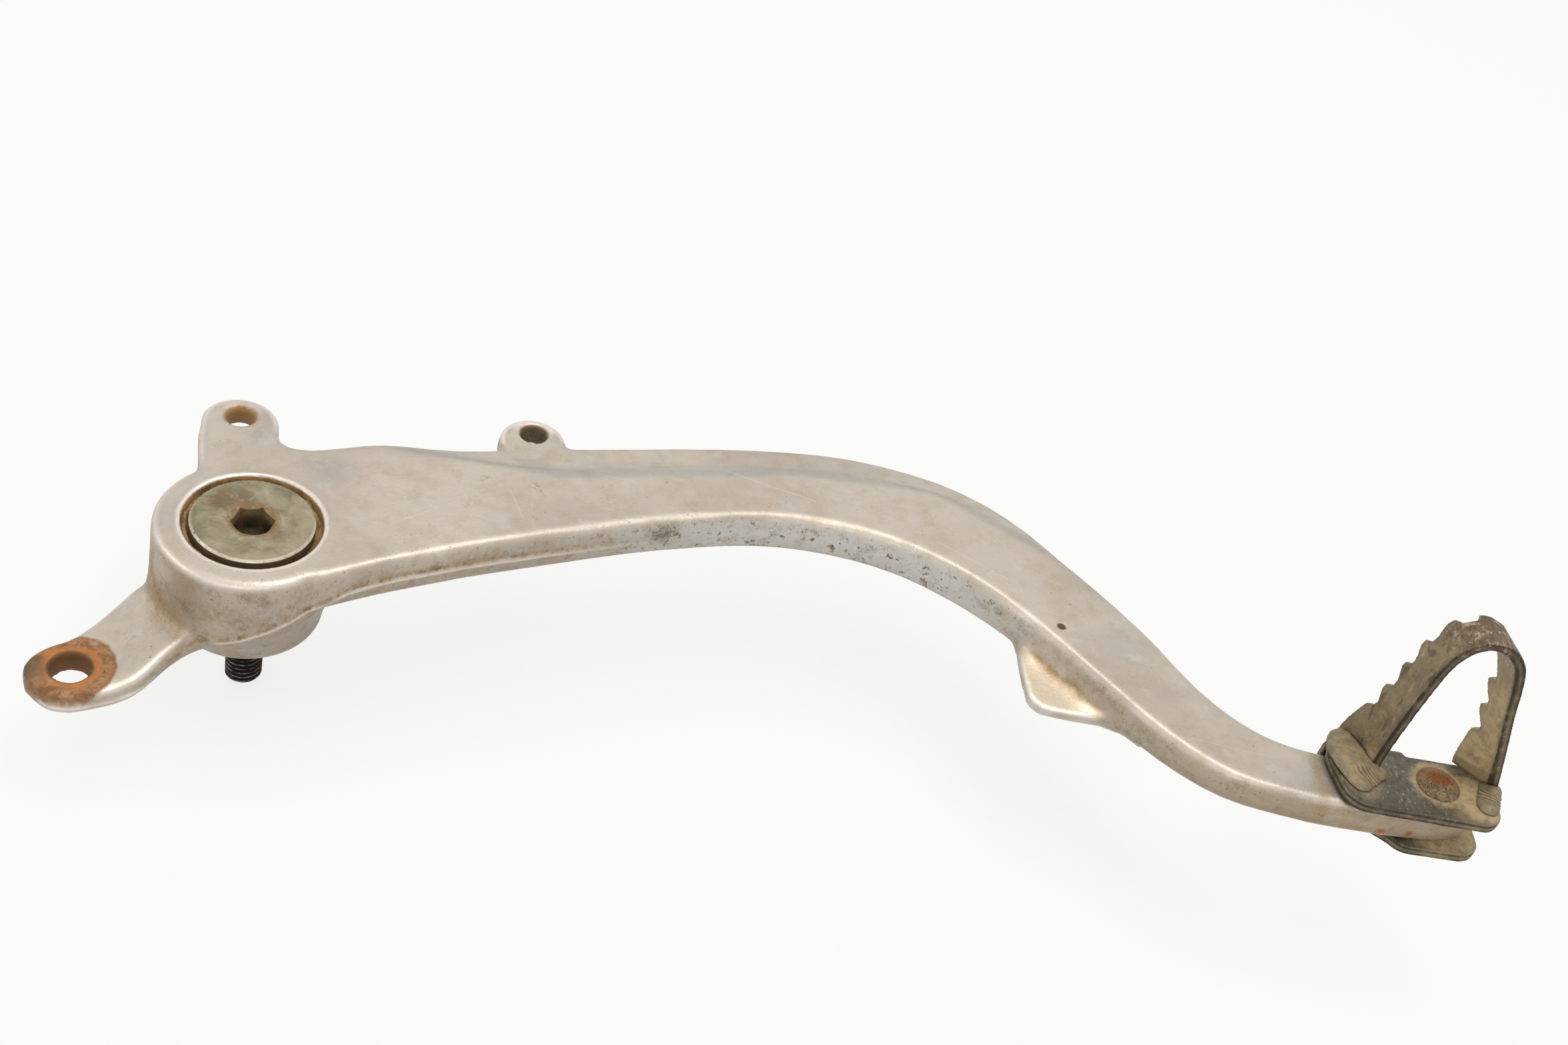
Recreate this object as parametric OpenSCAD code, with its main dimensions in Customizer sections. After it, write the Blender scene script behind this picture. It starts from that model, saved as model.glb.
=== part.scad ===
/* [Pivot boss] */
// Height of the boss along the pivot axis
boss_h = 26; // [25:0.5:30]
// Radius of the boss wall where it is widest
boss_r = 20.8; // [20.2:0.1:22]
// Radius of the boss at its inboard face
boss_foot_r = 16.1; // [15.6:0.1:17]
// Radius of the counterbore around the bolt head
counterbore_r = 14.5; // [14:0.1:15.6]
// Depth of the counterbore
counterbore_depth = 3.2; // [2.8:0.1:4]
// Rounding along the outboard edges
edge_round = 2; // [1.2:0.1:2.4]

/* [Pivot bolt] */
// Radius of the flat bolt head
head_r = 12.9; // [12:0.1:13.4]
// Thickness of the bolt head
head_h = 3.2; // [2.8:0.1:3.6]
// Width across the flats of the hex socket
socket_af = 8; // [6:0.5:10]
// Depth of the hex socket
socket_depth = 6; // [4:0.5:9]
// Radius of the smooth shoulder the lever turns on
shoulder_r = 8; // [7:0.1:8.6]
// Nominal radius of the thread
thread_r = 4; // [3:0.5:5]
// Length of the threaded end below the shoulder
thread_len = 19; // [12:0.5:25]

/* [Seals] */
// Radius of the round section of each seal ring
seal_section_r = 1; // [0.8:0.05:1.15]
// Distance from a bore mouth to the middle of its seal groove
seal_inset = 3.2; // [2.6:0.1:4]

/* [Lever arm] */
// Distance along the lever from the pivot axis to the rivet
arm_reach = 258; // [236:1:276]
// Height of the outboard face of the arm above the inboard face at the root
arm_t = 10; // [8.8:0.1:10.6]
// Thickness of the arm at the tongue inside the tip bracket
tongue_t = 8; // [7:0.1:8.6]
// Depth of the ledge that runs along the back of the arm
ledge_drop = 1.8; // [0.8:0.1:2.6]
// Width of the slope down to the ledge
ledge_slope = 2.4; // [1.5:0.1:4]

/* [Push rod ear] */
// Radius of the push rod hole
ear_hole_r = 4; // [3:0.1:5]
// Thickness of the ear
ear_t = 5.4; // [4.6:0.1:6]
// Height of the outboard face of the ear
ear_top = 6; // [5.6:0.1:7]
// Rise of the ear where it joins the boss
ear_rise = 4; // [2:0.1:5]
// Extra thickness of the ear where it joins the boss
ear_root_extra = 0.9; // [0.4:0.1:1.4]
// Radius of the rounded end of the ear
ear_end_r = 8.6; // [7.6:0.1:9.6]

/* [Spring arm and stop lug] */
// Radius of the through hole in the spring arm
spring_hole_r = 2.9; // [2:0.1:3.2]
// Thickness of the spring arm
spring_arm_t = 4.6; // [3.6:0.1:6]
// Radius of the through hole in the middle lug
lug_hole_r = 3; // [2:0.1:3.3]
// Thickness of the middle lug
lug_t = 5.4; // [4:0.1:6.5]
// Thickness of the thin fin on the front of the arm
fin_t = 2.8; // [2:0.1:3.4]

/* [Tip bracket] */
// Thickness of the folded sheet and of the toothed strip
sheet_t = 2.4; // [2:0.1:2.8]
// Length of the bracket along the lever
bracket_len = 39; // [37:0.5:42]
// Radius of the rivet shank
rivet_r = 3; // [2.4:0.1:3.4]
// Radius of the domed rivet head
rivet_head_r = 5.2; // [4.6:0.1:5.6]
// Height of the domed rivet head
rivet_head_h = 1.7; // [1.2:0.1:2.2]

/* [Toothed tread loop] */
// Height of the loop above the bracket
loop_h = 41; // [34:0.5:46]
// Distance between the outer faces of the two feet
loop_w = 30.4; // [28:0.2:32]
// Width of the strip at the crown
strip_w = 10; // [9:0.1:11]
// Extra width of the strip at the feet
foot_flare = 3.6; // [2:0.1:4.4]
// Distance from tooth to tooth
tooth_pitch = 6.9; // [6.4:0.1:7.2]
// Depth of the gaps between the teeth
tooth_depth = 1.6; // [1:0.1:2]

/* [Weld beads] */
// Size of the weld at the front of the left foot
left_weld_r = 3.2; // [2.6:0.1:3.6]
// Size of the weld at the front of the right foot
right_weld_r = 3.4; // [2.8:0.1:3.8]
// Height of the weld along the outside of the left foot
side_weld_h = 3; // [2:0.1:3.6]

/* [Fits] */
// Radial running gap between the bolt shoulder and the bore
run_gap = 0.05; // [0.02:0.01:0.1]
// Gap between parts that are fastened to one another
seat_gap = 0.03; // [0:0.01:0.1]

/* [Hidden] */
$fn = 64;

alloy = [0.77, 0.73, 0.68];
bolt_steel = [0.47, 0.46, 0.38];
rubber = [0.12, 0.12, 0.12];
dull_steel = [0.45, 0.43, 0.36];
rust = [0.60, 0.30, 0.14];
weld_grey = [0.52, 0.49, 0.40];

// Smooth curves through a few measured points
function bend(a, b, c, d, t) =
  0.5 * (2 * b + (c - a) * t + (2 * a - 5 * b + 4 * c - d) * t * t
    + (3 * b - a - 3 * c + d) * t * t * t);
function clamp_at(rows, i) = rows[max(0, min(len(rows) - 1, i))];
function through(rows, steps) = [
  for (i = [0 : len(rows) - 2]) for (k = [0 : steps - 1])
    bend(clamp_at(rows, i - 1), rows[i], rows[i + 1], clamp_at(rows, i + 2), k / steps),
  rows[len(rows) - 1]];
function arc(c, r, a0, a1, n) = [
  for (i = [0 : n]) let (a = a0 + (a1 - a0) * i / n) [c[0] + r * cos(a), c[1] + r * sin(a)]];
function ramp(a, b, x) = let (t = max(0, min(1, (x - a) / (b - a)))) t * t * (3 - 2 * t);
function unit(v) = v / norm(v);

// One solid from a row of closed sections with the same number of points
function middle(ring) = [
  for (k = [0 : 2]) (max([for (p = ring) p[k]]) + min([for (p = ring) p[k]])) / 2];
module skin(rings) {
  m = len(rings[0]);
  n = len(rings);
  polyhedron(
    points = concat([for (r = rings) for (p = r) p], [middle(rings[0]), middle(rings[n - 1])]),
    faces = concat(
      [for (j = [0 : m - 1]) [n * m, (j + 1) % m, j]],
      [for (i = [0 : n - 2]) for (j = [0 : m - 1])
        let (a = i * m + j, b = i * m + (j + 1) % m) [a, b, a + m]],
      [for (i = [0 : n - 2]) for (j = [0 : m - 1])
        let (a = i * m + j, b = i * m + (j + 1) % m) [a + m, b, b + m]],
      [for (j = [0 : m - 1]) [n * m + 1, (n - 1) * m + j, (n - 1) * m + (j + 1) % m]]),
    convexity = 6);
}

// Where things sit along the lever
reach_k = arm_reach / 258;
tip_x = arm_reach;
tip_y = -24.8;
arm_top = boss_h;
tongue_bottom = arm_top - tongue_t;
ear_hole = [-29.2, -30];
spring_hole = [-9.4, 33.4];
lug_hole = [54.6, 47.2];

// Front edge, back edge, place of the ledge across the width and depth of the ledge
arm_rows = [
  [1, -17, 4, 26.2, 0.98, 0],
  [13, -15.6, 11.6, 29.2, 0.98, 0],
  [28, -6.9, 22.1, 33.7, 0.96, 0.05],
  [44.5, 2.3, 38.2, 37.5, 0.84, 0.7],
  [65, 12.3, 56.8, 43.8, 0.65, 1],
  [87, 22.1, 79.9, 50.4, 0.62, 1],
  [109, 29.1, 106, 57.2, 0.62, 1],
  [126, 30.3, 130.1, 60.3, 0.65, 1],
  [142, 27.4, 152.3, 57, 0.72, 1],
  [157.2, 19.8, 168.9, 47.6, 0.82, 0.8],
  [171.3, 7.8, 182.5, 31.9, 0.94, 0.25],
  [184.5, -6.8, 196.8, 14.6, 0.97, 0],
  [197.8, -20.8, 208.4, -2.7, 0.97, 0],
  [210.9, -29.5, 217.9, -11.9, 0.97, 0],
  [226, -32.5, 228.3, -16.3, 0.97, 0],
  [240, -33.2, 241, -17.6, 0.97, 0],
  [252, -33.2, 253, -18.6, 0.97, 0],
  [260, -32.4, 260.6, -19.4, 0.97, 0],
  [265, -30.6, 265.4, -21.2, 0.97, 0],
  [268, -28.4, 268.2, -23.6, 0.97, 0]];

function arm_bottom(x) = arm_top - arm_t + (arm_t - tongue_t) * ramp(150, 215, x);
function arm_ring(r) =
  let (
    f = [r[0] * reach_k, r[1]], b = [r[2] * reach_k, r[3]],
    w = norm(b - f), u = (b - f) / w, zt = arm_top, zb = arm_bottom(r[0]),
    q = min(edge_round, w * 0.2), d = ledge_drop * r[5], k = r[4] * w, s = ledge_slope,
    k1 = min(k, w - q - 0.5 - s), k2 = k1 + s, zp = zb + (zt - zb) * 0.42,
    flat = [
      [1.3, zb], [0.4, zb + 0.6], [0, zp],
      [0.2, zt - q], [0.2 + 0.3 * q, zt - 0.45 * q], [0.2 + 0.62 * q, zt - 0.16 * q], [0.2 + q, zt],
      [k1, zt], [k2, zt - d],
      [w - 0.2 - q, zt - d], [w - 0.2 - 0.62 * q, zt - d - 0.16 * q],
      [w - 0.2 - 0.3 * q, zt - d - 0.45 * q], [w - 0.2, zt - d - q],
      [w, zp], [w - 0.4, zb + 0.6], [w - 1.3, zb]])
  [for (p = flat) [f[0] + u[0] * p[0], f[1] + u[1] * p[0], p[1]]];

module arm_body() {
  skin([for (r = through(arm_rows, 3)) arm_ring(r)]);
}

// Round boss with a drafted wall, turned about the pivot axis
module boss_wall() {
  rotate_extrude()
    polygon(concat(
      [[0, 3], [boss_r, 3]],
      arc([boss_r - 0.5 - edge_round, boss_h - edge_round], edge_round, 0, 90, 5),
      [[0, boss_h]]));
}

// Parting line: the wide upper wall ends on a slope that climbs from the ear to the arm
parting_low = 8.3;
parting_x = -3.5;
parting_slope = 0.43;
function parting_z(x) = parting_low + parting_slope * max(0, x - parting_x);

module parting_wedge() {
  translate([0, 60, 0])
    rotate([90, 0, 0])
      linear_extrude(120)
        polygon([[-40, -2], [24, -2], [24, parting_z(24)], [parting_x, parting_low],
          [-40, parting_low]]);
}

// Below the parting line a skirt narrows to the round foot
module boss_foot() {
  rotate_extrude()
    polygon([[0, 0], [boss_foot_r - 1.4, 0], [boss_foot_r - 1.15, 0.25],
      [boss_foot_r - 1.15, 5], [0, 5]]);
}

// Share of the height up to the parting line, and share of the way out to the boss wall
skirt_rows = [[0.04, -0.17], [0.09, -0.06], [0.22, 0.02], [0.33, 0.15], [0.44, 0.28], [0.55, 0.45], [0.67, 0.64],
  [0.78, 0.85], [0.9, 0.96], [0.98, 1], [1.08, 0.86]];

module boss_skirt() {
  skin([
    for (s = skirt_rows)
      let (r = boss_foot_r + (boss_r - 0.5 - boss_foot_r) * s[1])
      [for (i = [0 : 59]) let (a = -6 * i - 2) [r * cos(a), r * sin(a), s[0] * parting_z(boss_r * cos(a))]]]);
}

module spring_arm() {
  skin([
    for (s = [[0.5, spring_arm_t], [0, spring_arm_t - 0.6], [0, 1.25], [0.45, 0.5], [1.3, 0]])
      [for (p = spring_outline(s[0])) [p[0], p[1], boss_h - s[1]]]]);
}

function spring_outline(e) = concat(
  [[-14 + e, 8], [-15 + e, 17], [-16.9 + e, 26]],
  arc([-9.3, 31.7], 8.6 - e, 168, 12, 14),
  arc([4.1, 30.8], 4.5 + e, 192, 262, 6),
  [[9, 27 - e], [9, 8]]);

module middle_lug() {
  translate([54.6, 45, arm_top - ledge_drop - lug_t])
    cylinder(r1 = 7.7, r2 = 8, h = 2);
  translate([54.6, 45, arm_top - ledge_drop - lug_t + 2])
    cylinder(r1 = 8, r2 = 7.7, h = lug_t - 2.6);
  translate([54.6, 45, arm_top - ledge_drop - 0.6])
    cylinder(r1 = 7.7, r2 = 7.1, h = 0.6);
}

// The ear drops from the boss to its own level with a soft joggle
ear_rows = [
  [-3.4, -16.6, -15.8, -2, 0],
  [-8, -21.2, -21.4, -7.2, 0.03],
  [-11.4, -25.2, -24.4, -11.2, 0.4],
  [-14.8, -30.4, -27.5, -15.6, 0.82],
  [-18.8, -34.1, -30, -19, 1],
  [-22.8, -36.5, -32, -21.8, 1],
  [-27.4, -38.5, -35, -24.2, 1],
  [-31.5, -38.4, -37.4, -27.4, 1],
  [-34.8, -36.3, -38.2, -30.6, 1],
  [-36.7, -34.4, -37.6, -33, 1]];

function ear_ring(r) =
  let (
    g = 1 + (ear_end_r / 8.6 - 1) * r[4],
    b = ear_hole + g * ([r[0], r[1]] - ear_hole), f = ear_hole + g * ([r[2], r[3]] - ear_hole),
    w = norm(b - f), u = (b - f) / w, z = ear_top + ear_rise * (1 - r[4]),
    q = min(1.4, w * 0.3), zb = z - ear_t - ear_root_extra * (1 - r[4]),
    flat = [
      [q, zb], [0.4 * q, zb + 0.5], [0, zb + ear_t * 0.42], [0.2 * q, z - q],
      [0.5 * q, z - 0.35 * q], [1.1 * q, z],
      [w - 1.1 * q, z], [w - 0.5 * q, z - 0.35 * q], [w - 0.2 * q, z - q],
      [w, zb + ear_t * 0.42], [w - 0.4 * q, zb + 0.5], [w - q, zb]])
  [for (p = flat) [f[0] + u[0] * p[0], f[1] + u[1] * p[0], p[1]]];

module push_rod_ear() {
  skin([for (r = through(ear_rows, 3)) ear_ring(r)]);
}

module front_fin() {
  translate([0, 0, arm_bottom(170) - 0.4])
    linear_extrude(fin_t)
      polygon(concat(
        [for (p = [[169, 14], [169.4, 2]]) [p[0] * reach_k, p[1]]],
        arc([175 * reach_k, -5.8], 5, 185, 262, 6),
        [for (p = [[187, -11.3], [192, -12.7], [196, -16.4], [195, -6], [178, 12]])
          [p[0] * reach_k, p[1]]]));
}

module lever_arm() {
  color(alloy)
    difference() {
      union() {
        difference() {
          boss_wall();
          parting_wedge();
        }
        boss_foot();
        boss_skirt();
        arm_body();
        spring_arm();
        middle_lug();
        push_rod_ear();
        front_fin();
      }
      translate([0, 0, -1])
        cylinder(r = shoulder_r + run_gap, h = boss_h + 2);
      translate([0, 0, boss_h - counterbore_depth])
        cylinder(r = counterbore_r, h = counterbore_depth + 1);
      translate([0, 0, boss_h - 0.3])
        cylinder(r1 = counterbore_r, r2 = counterbore_r + 0.5, h = 0.5);
      for (z = [seal_inset, boss_h - counterbore_depth - seal_inset])
        translate([0, 0, z - seal_section_r - 0.2])
          cylinder(r = seal_groove_r, h = 2 * seal_section_r + 0.4);
      translate([ear_hole[0], ear_hole[1], ear_top - ear_t - 1])
        cylinder(r = ear_hole_r, h = ear_t + 2);
      translate([ear_hole[0], ear_hole[1], ear_top - 0.5])
        cylinder(r1 = ear_hole_r, r2 = ear_hole_r + 1.2, h = 1);
      translate([spring_hole[0], spring_hole[1], boss_h - spring_arm_t - 1])
        cylinder(r = spring_hole_r, h = spring_arm_t + 2);
      translate([spring_hole[0], spring_hole[1], boss_h - 0.9])
        cylinder(r1 = spring_hole_r, r2 = spring_hole_r + 1, h = 1);
      translate([lug_hole[0], lug_hole[1], 10])
        cylinder(r = lug_hole_r, h = 20);
      translate([lug_hole[0], lug_hole[1], arm_top - ledge_drop - 0.6])
        cylinder(r1 = lug_hole_r, r2 = lug_hole_r + 0.8, h = 0.8);
      translate([tip_x, tip_y, tongue_bottom - 1])
        cylinder(r = rivet_r + seat_gap, h = tongue_t + 2);
    }
}

// Shoulder bolt: flat head, smooth journal, threaded end
head_top = boss_h + 0.3;
head_bottom = head_top - head_h;
shoulder_end = -0.6;
seal_groove_r = shoulder_r + 2 * seal_section_r + 0.04;

module pivot_bolt() {
  color(bolt_steel)
    difference() {
      rotate_extrude()
        polygon([
          [0, shoulder_end - thread_len], [thread_r - 1, shoulder_end - thread_len],
          [thread_r, shoulder_end - thread_len + 1], [thread_r, shoulder_end - 2],
          [thread_r - 0.7, shoulder_end - 1.5], [thread_r - 0.7, shoulder_end],
          [shoulder_r - 0.6, shoulder_end], [shoulder_r, shoulder_end + 0.6],
          [shoulder_r, head_bottom], [head_r - 0.3, head_bottom], [head_r, head_bottom + 0.3],
          [head_r, head_top - 0.5], [head_r - 0.5, head_top], [0, head_top]]);
      translate([0, 0, head_top - socket_depth])
        rotate([0, 0, 15])
          cylinder(r = socket_af / sqrt(3), h = socket_depth + 1, $fn = 6);
      translate([0, 0, head_top - socket_depth - 1.6])
        cylinder(r1 = 0.4, r2 = socket_af / 2 - 0.1, h = 1.7);
      translate([0, 0, head_top - 0.8])
        cylinder(r1 = socket_af / 2, r2 = socket_af / 2 + 1.2, h = 1);
    }
}

module seal_ring(z) {
  color(rubber)
    translate([0, 0, z])
      rotate_extrude()
        translate([shoulder_r + seal_section_r + 0.02, 0])
          circle(r = seal_section_r, $fn = 32);
}

// Folded steel bracket around the tongue
plate_top = arm_top + seat_gap + sheet_t;
plate_low = tongue_bottom - seat_gap - sheet_t;
plate_x1 = tip_x + 13.3;
plate_x0 = plate_x1 - bracket_len;
web_y = -14.4;

function upper_plate() = concat(
  [[plate_x0 + 1.3, -20], [plate_x0 + 1.6, -24]],
  arc([plate_x0 + 8.6, -28.2], 6.2, 188, 262, 7),
  arc([plate_x1 - 5.2, -29.8], 5.2, 276, 360, 7),
  arc([plate_x1 - 5, -22.4], 5, 0, 84, 6),
  [[plate_x0 + 22, -17.4], [plate_x0 + 20, web_y - sheet_t - 0.6],
    [plate_x0 + 2.4, web_y - sheet_t - 0.6]]);

function lower_plate() = concat(
  [[plate_x0 + 2.4, web_y - sheet_t - 0.6], [plate_x0 + 9.4, -27]],
  arc([plate_x0 + 21.8, -29.4], 5.2, 215, 268, 5),
  arc([plate_x1 - 6, -29.2], 5.4, 276, 360, 7),
  arc([plate_x1 - 5.6, -22.4], 5, 0, 84, 6),
  [[plate_x0 + 22, -17.4], [plate_x0 + 20, web_y - sheet_t - 0.6]]);

// Side profile of the fold: two bends joined by the web
module fold_profile() {
  h = plate_top - plate_low;
  r = sheet_t + 1;
  difference() {
    polygon(concat(
      [[-sheet_t - 1, 0]], arc([-r, r], r, -90, 0, 6),
      arc([-r, h - r], r, 0, 90, 6), [[-sheet_t - 1, h]]));
    polygon([[-sheet_t - 2, sheet_t], [-sheet_t - 0.3, sheet_t], [-sheet_t, sheet_t + 0.3],
      [-sheet_t, h - sheet_t - 0.3], [-sheet_t - 0.3, h - sheet_t], [-sheet_t - 2, h - sheet_t]]);
  }
}

module tip_bracket() {
  color(dull_steel)
    difference() {
      union() {
        translate([0, 0, plate_top - sheet_t])
          linear_extrude(sheet_t)
            polygon(upper_plate());
        translate([0, 0, plate_low])
          linear_extrude(sheet_t)
            polygon(lower_plate());
        translate([plate_x0 + 2.4, web_y, plate_low])
          rotate([90, 0, 90])
            linear_extrude(17.6)
              fold_profile();
      }
      translate([tip_x, tip_y, plate_low - 1])
        cylinder(r = rivet_r + seat_gap, h = plate_top - plate_low + 2);
    }
}

// Strip bent into a loop, with saw teeth cut along its far edge
loop_at = [tip_x - 15.8, -23.6];
loop_z = plate_top + seat_gap;
strip_rows = [
  [0.038, 0], [0.043, 0.2], [0.065, 0.42], [0.095, 0.64], [0.13, 0.8], [0.19, 0.893],
  [0.275, 0.948], [0.375, 0.968], [0.495, 0.94], [0.608, 0.853], [0.675, 0.725],
  [0.75, 0.52], [0.852, 0.27], [0.965, 0]];

strip_line = [for (p = through(strip_rows, 4)) [p[0] * loop_w, p[1] * loop_h]];
strip_steps = [for (i = [1 : len(strip_line) - 1]) norm(strip_line[i] - strip_line[i - 1])];
function sum_to(list, n) = n > 0 ? list[n - 1] + sum_to(list, n - 1) : 0;
strip_run = [for (i = [0 : len(strip_line) - 1]) sum_to(strip_steps, i)];
strip_total = strip_run[len(strip_run) - 1];
function strip_at(s) = [
  for (k = [0, 1]) lookup(s, [for (i = [0 : len(strip_run) - 1]) [strip_run[i], strip_line[i][k]]])];
function strip_dir(s) = unit(strip_at(min(s + 0.6, strip_total)) - strip_at(max(s - 0.6, 0)));
function strip_turn(s, z) =
  23 - 15 * ramp(0, loop_h, z) + (s > strip_total / 2 ? 26 * (1 - ramp(0, 12, z)) : 0);

// Width of the strip without its teeth, wider toward the left foot
function strip_full(s) =
  let (a = max(0, 1 - s / 24), b = max(0, 1 - (strip_total - s) / 24))
  strip_w - 1.2 + foot_flare * a * a + 0.35 * foot_flare * b * b;

// Each tooth: steep side toward the crown, round crest, long back
tooth_shape = [[0, 0], [0.13, 0.95], [0.36, 1], [0.6, 0.4], [0.82, 0.02]];

// The crown has one more tooth and then a plain rounded shoulder
crown_shape = [[0, 0.95], [0.5, 0], [2.9, -0.2], [3.5, 0.15], [5.4, 0], [6.8, -0.5], [8.2, -0.9],
  [9.6, -1.2], [11, -1.1], [12.8, -0.5], [14.8, 0.3]];
left_start = 11;
right_start = strip_total - 10.4;
teeth_left = 5;
teeth_right = 3;
right_pitch = tooth_pitch * 1.12;
crown_s = left_start + teeth_left * tooth_pitch - 3.2;
edge_marks = concat(
  [[0, 0], [4, -0.3], [8, -0.2]],
  [for (i = [0 : teeth_left - 1]) for (k = [0 : (i == teeth_left - 1 ? 2 : 4)])
    let (t = tooth_shape[k]) [left_start + (i + t[0]) * tooth_pitch, t[1]]],
  [for (t = crown_shape) [crown_s + t[0], t[1]]],
  [for (i = [teeth_right - 1 : -1 : 0]) for (k = [2, 1, 0, 4, 3])
    let (t = tooth_shape[k], j = k > 2 ? i - 1 : i)
    if (j >= 0) [right_start - (j + t[0]) * right_pitch, t[1] * 1.3]],
  [for (s = [8, 5, 2.5, 0]) [strip_total - s, 0]]);

function strip_ring(m) =
  let (
    s = m[0], p = strip_at(s), d = strip_dir(s), a = strip_turn(s, p[1]),
    w = strip_full(s) - tooth_depth * m[1], h = sheet_t / 2,
    o = [p[0] - d[1] * h, max(0, p[1] + d[0] * h)], n = [p[0] + d[1] * h, max(0, p[1] - d[0] * h)],
    g = [-sin(a) * w, cos(a) * w])
  [[o[0], 0, o[1]], [o[0] + g[0], g[1], o[1]], [n[0] + g[0], g[1], n[1]], [n[0], 0, n[1]]];

module tread_loop() {
  color(dull_steel)
    translate([loop_at[0], loop_at[1], loop_z])
      skin([for (m = edge_marks) strip_ring(m)]);
}

module tip_rivet() {
  r = rivet_head_r;
  h = rivet_head_h;
  ball = (r * r + h * h) / (2 * h);
  color(rust)
    translate([tip_x, tip_y, 0])
      rotate_extrude()
        polygon(concat(
          [[0, plate_low - h]],
          arc([0, plate_low - h + ball], ball, -90 + 4, -90 + asin(r / ball), 5),
          [[rivet_r, plate_low], [rivet_r, plate_top]],
          arc([0, plate_top + h - ball], ball, 90 - asin(r / ball), 90 - 4, 5),
          [[0, plate_top + h]]));
}

// Weld metal laid round the foot of each leg of the loop
module bead(from, to, size, count, sink = 0) {
  for (i = [0 : count - 1])
    let (p = from + (to - from) * i / (count - 1))
      translate([p[0], p[1], loop_z - sink])
        sphere(r = size, $fn = 24);
}

module below_plate() {
  translate([tip_x - 60, -60, -20])
    cube([120, 80, plate_top + 20]);
}

// Mound of weld from the outside of the left foot out to the edge of the plate:
// place at the foot, place at the edge, share of the full height
mound_rows = [
  [1.6, -2.2, -3.4, -7.6, 0.3],
  [1.5, -0.8, -5.6, -5.8, 0.65],
  [0.9, 0.9, -7.4, -2.4, 0.9],
  [-0.2, 3.6, -8.7, 1.4, 1],
  [-1.4, 6.4, -9.2, 4.4, 1],
  [-2.6, 9.2, -8.7, 7, 0.85],
  [-3.4, 11, -7.2, 9.8, 0.5]];
mound_shape = [[0, -0.1], [0, 1.15], [0.25, 0.97], [0.5, 0.84], [0.75, 0.66], [0.92, 0.38], [1, -0.1]];

function mound_ring(r) =
  let (f = [r[0], r[1]], e = [r[2], r[3]], h = side_weld_h * r[4])
  [for (p = mound_shape) let (q = f + (e - f) * p[0]) [q[0], q[1], h * p[1]]];

module left_weld_bead() {
  color(weld_grey)
    difference() {
      union() {
        bead(loop_at + [1.4, -0.8], loop_at + [-2.6, -4.4], left_weld_r, 3, 1.5);
        translate([loop_at[0], loop_at[1], loop_z])
          skin([for (r = through(mound_rows, 3)) mound_ring(r)]);
      }
      below_plate();
      tread_loop();
    }
}

module right_weld_bead() {
  color(weld_grey)
    difference() {
      bead(loop_at + [loop_w - 2.2, -0.4], loop_at + [loop_w - 4.2, -5.6], right_weld_r, 4, 1.6);
      below_plate();
      tread_loop();
    }
}

lever_arm();
pivot_bolt();
seal_ring(boss_h - counterbore_depth - seal_inset);  // outer_seal_ring
seal_ring(seal_inset);  // inner_seal_ring
tip_bracket();
tread_loop();
tip_rivet();
left_weld_bead();
right_weld_bead();
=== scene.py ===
"""Looks of a worn rear brake pedal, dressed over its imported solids.

The forging, the sheet steel and the weld metal each get a dense skin made from
their own solid, softened and worn in numpy, and a finish built from nodes.
"""

from __future__ import annotations

import logging
import math
from dataclasses import dataclass
from enum import Enum
from functools import cached_property, reduce
from typing import Any, Sequence

import bmesh
import bpy
import numpy as np
from mathutils import Matrix, Vector
from mathutils.kdtree import KDTree

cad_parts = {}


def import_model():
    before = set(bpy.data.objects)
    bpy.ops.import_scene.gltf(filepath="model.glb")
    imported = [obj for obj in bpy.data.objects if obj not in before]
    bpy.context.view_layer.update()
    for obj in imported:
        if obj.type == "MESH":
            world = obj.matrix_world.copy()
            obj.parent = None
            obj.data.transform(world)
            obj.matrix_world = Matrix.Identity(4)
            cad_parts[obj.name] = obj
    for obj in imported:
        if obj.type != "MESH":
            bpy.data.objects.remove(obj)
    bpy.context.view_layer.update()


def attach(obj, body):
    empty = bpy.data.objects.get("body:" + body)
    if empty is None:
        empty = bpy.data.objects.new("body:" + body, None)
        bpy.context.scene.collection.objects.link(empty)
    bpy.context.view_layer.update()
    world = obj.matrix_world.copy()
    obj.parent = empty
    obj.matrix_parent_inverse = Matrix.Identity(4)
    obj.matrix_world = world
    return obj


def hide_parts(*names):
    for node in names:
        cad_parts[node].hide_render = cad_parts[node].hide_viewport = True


logger = logging.getLogger("brake_pedal")

Colour = tuple[float, float, float, float]
Point = tuple[float, float, float]
MM = 0.001
WHITE: Colour = (1.0, 1.0, 1.0, 1.0)
FLAT = (1.0, 1.0, 0.0)


class Body(Enum):
    """The two rigid bodies that pieces ride on."""

    BOLT = "bolt"
    PEDAL = "pedal"


class Slot(Enum):
    """Material slots of the record."""

    ALLOY = "alloy"
    BOLT = "bolt_steel"
    SHEET = "dull_steel"
    LOOP = "loop_steel"
    RIVET = "rivet_steel"
    WELD = "weld_metal"


@dataclass(frozen=True)
class Hole:
    """A round hole along the pivot's direction, in millimetres."""

    x: float
    y: float
    radius: float
    top: float

    def rim(self) -> Point:
        """Middle of the hole's outboard end."""
        return (self.x, self.y, self.top)

    def away(self, at: np.ndarray) -> np.ndarray:
        """Distance of each point from the hole's axis."""
        return np.hypot(at[:, 0] - self.x, at[:, 1] - self.y)


@dataclass(frozen=True)
class Mark:
    """A round mark: its middle, the radii between which it fades, and its strength."""

    at: Point
    near: float
    far: float
    amount: float = 1.0


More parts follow.
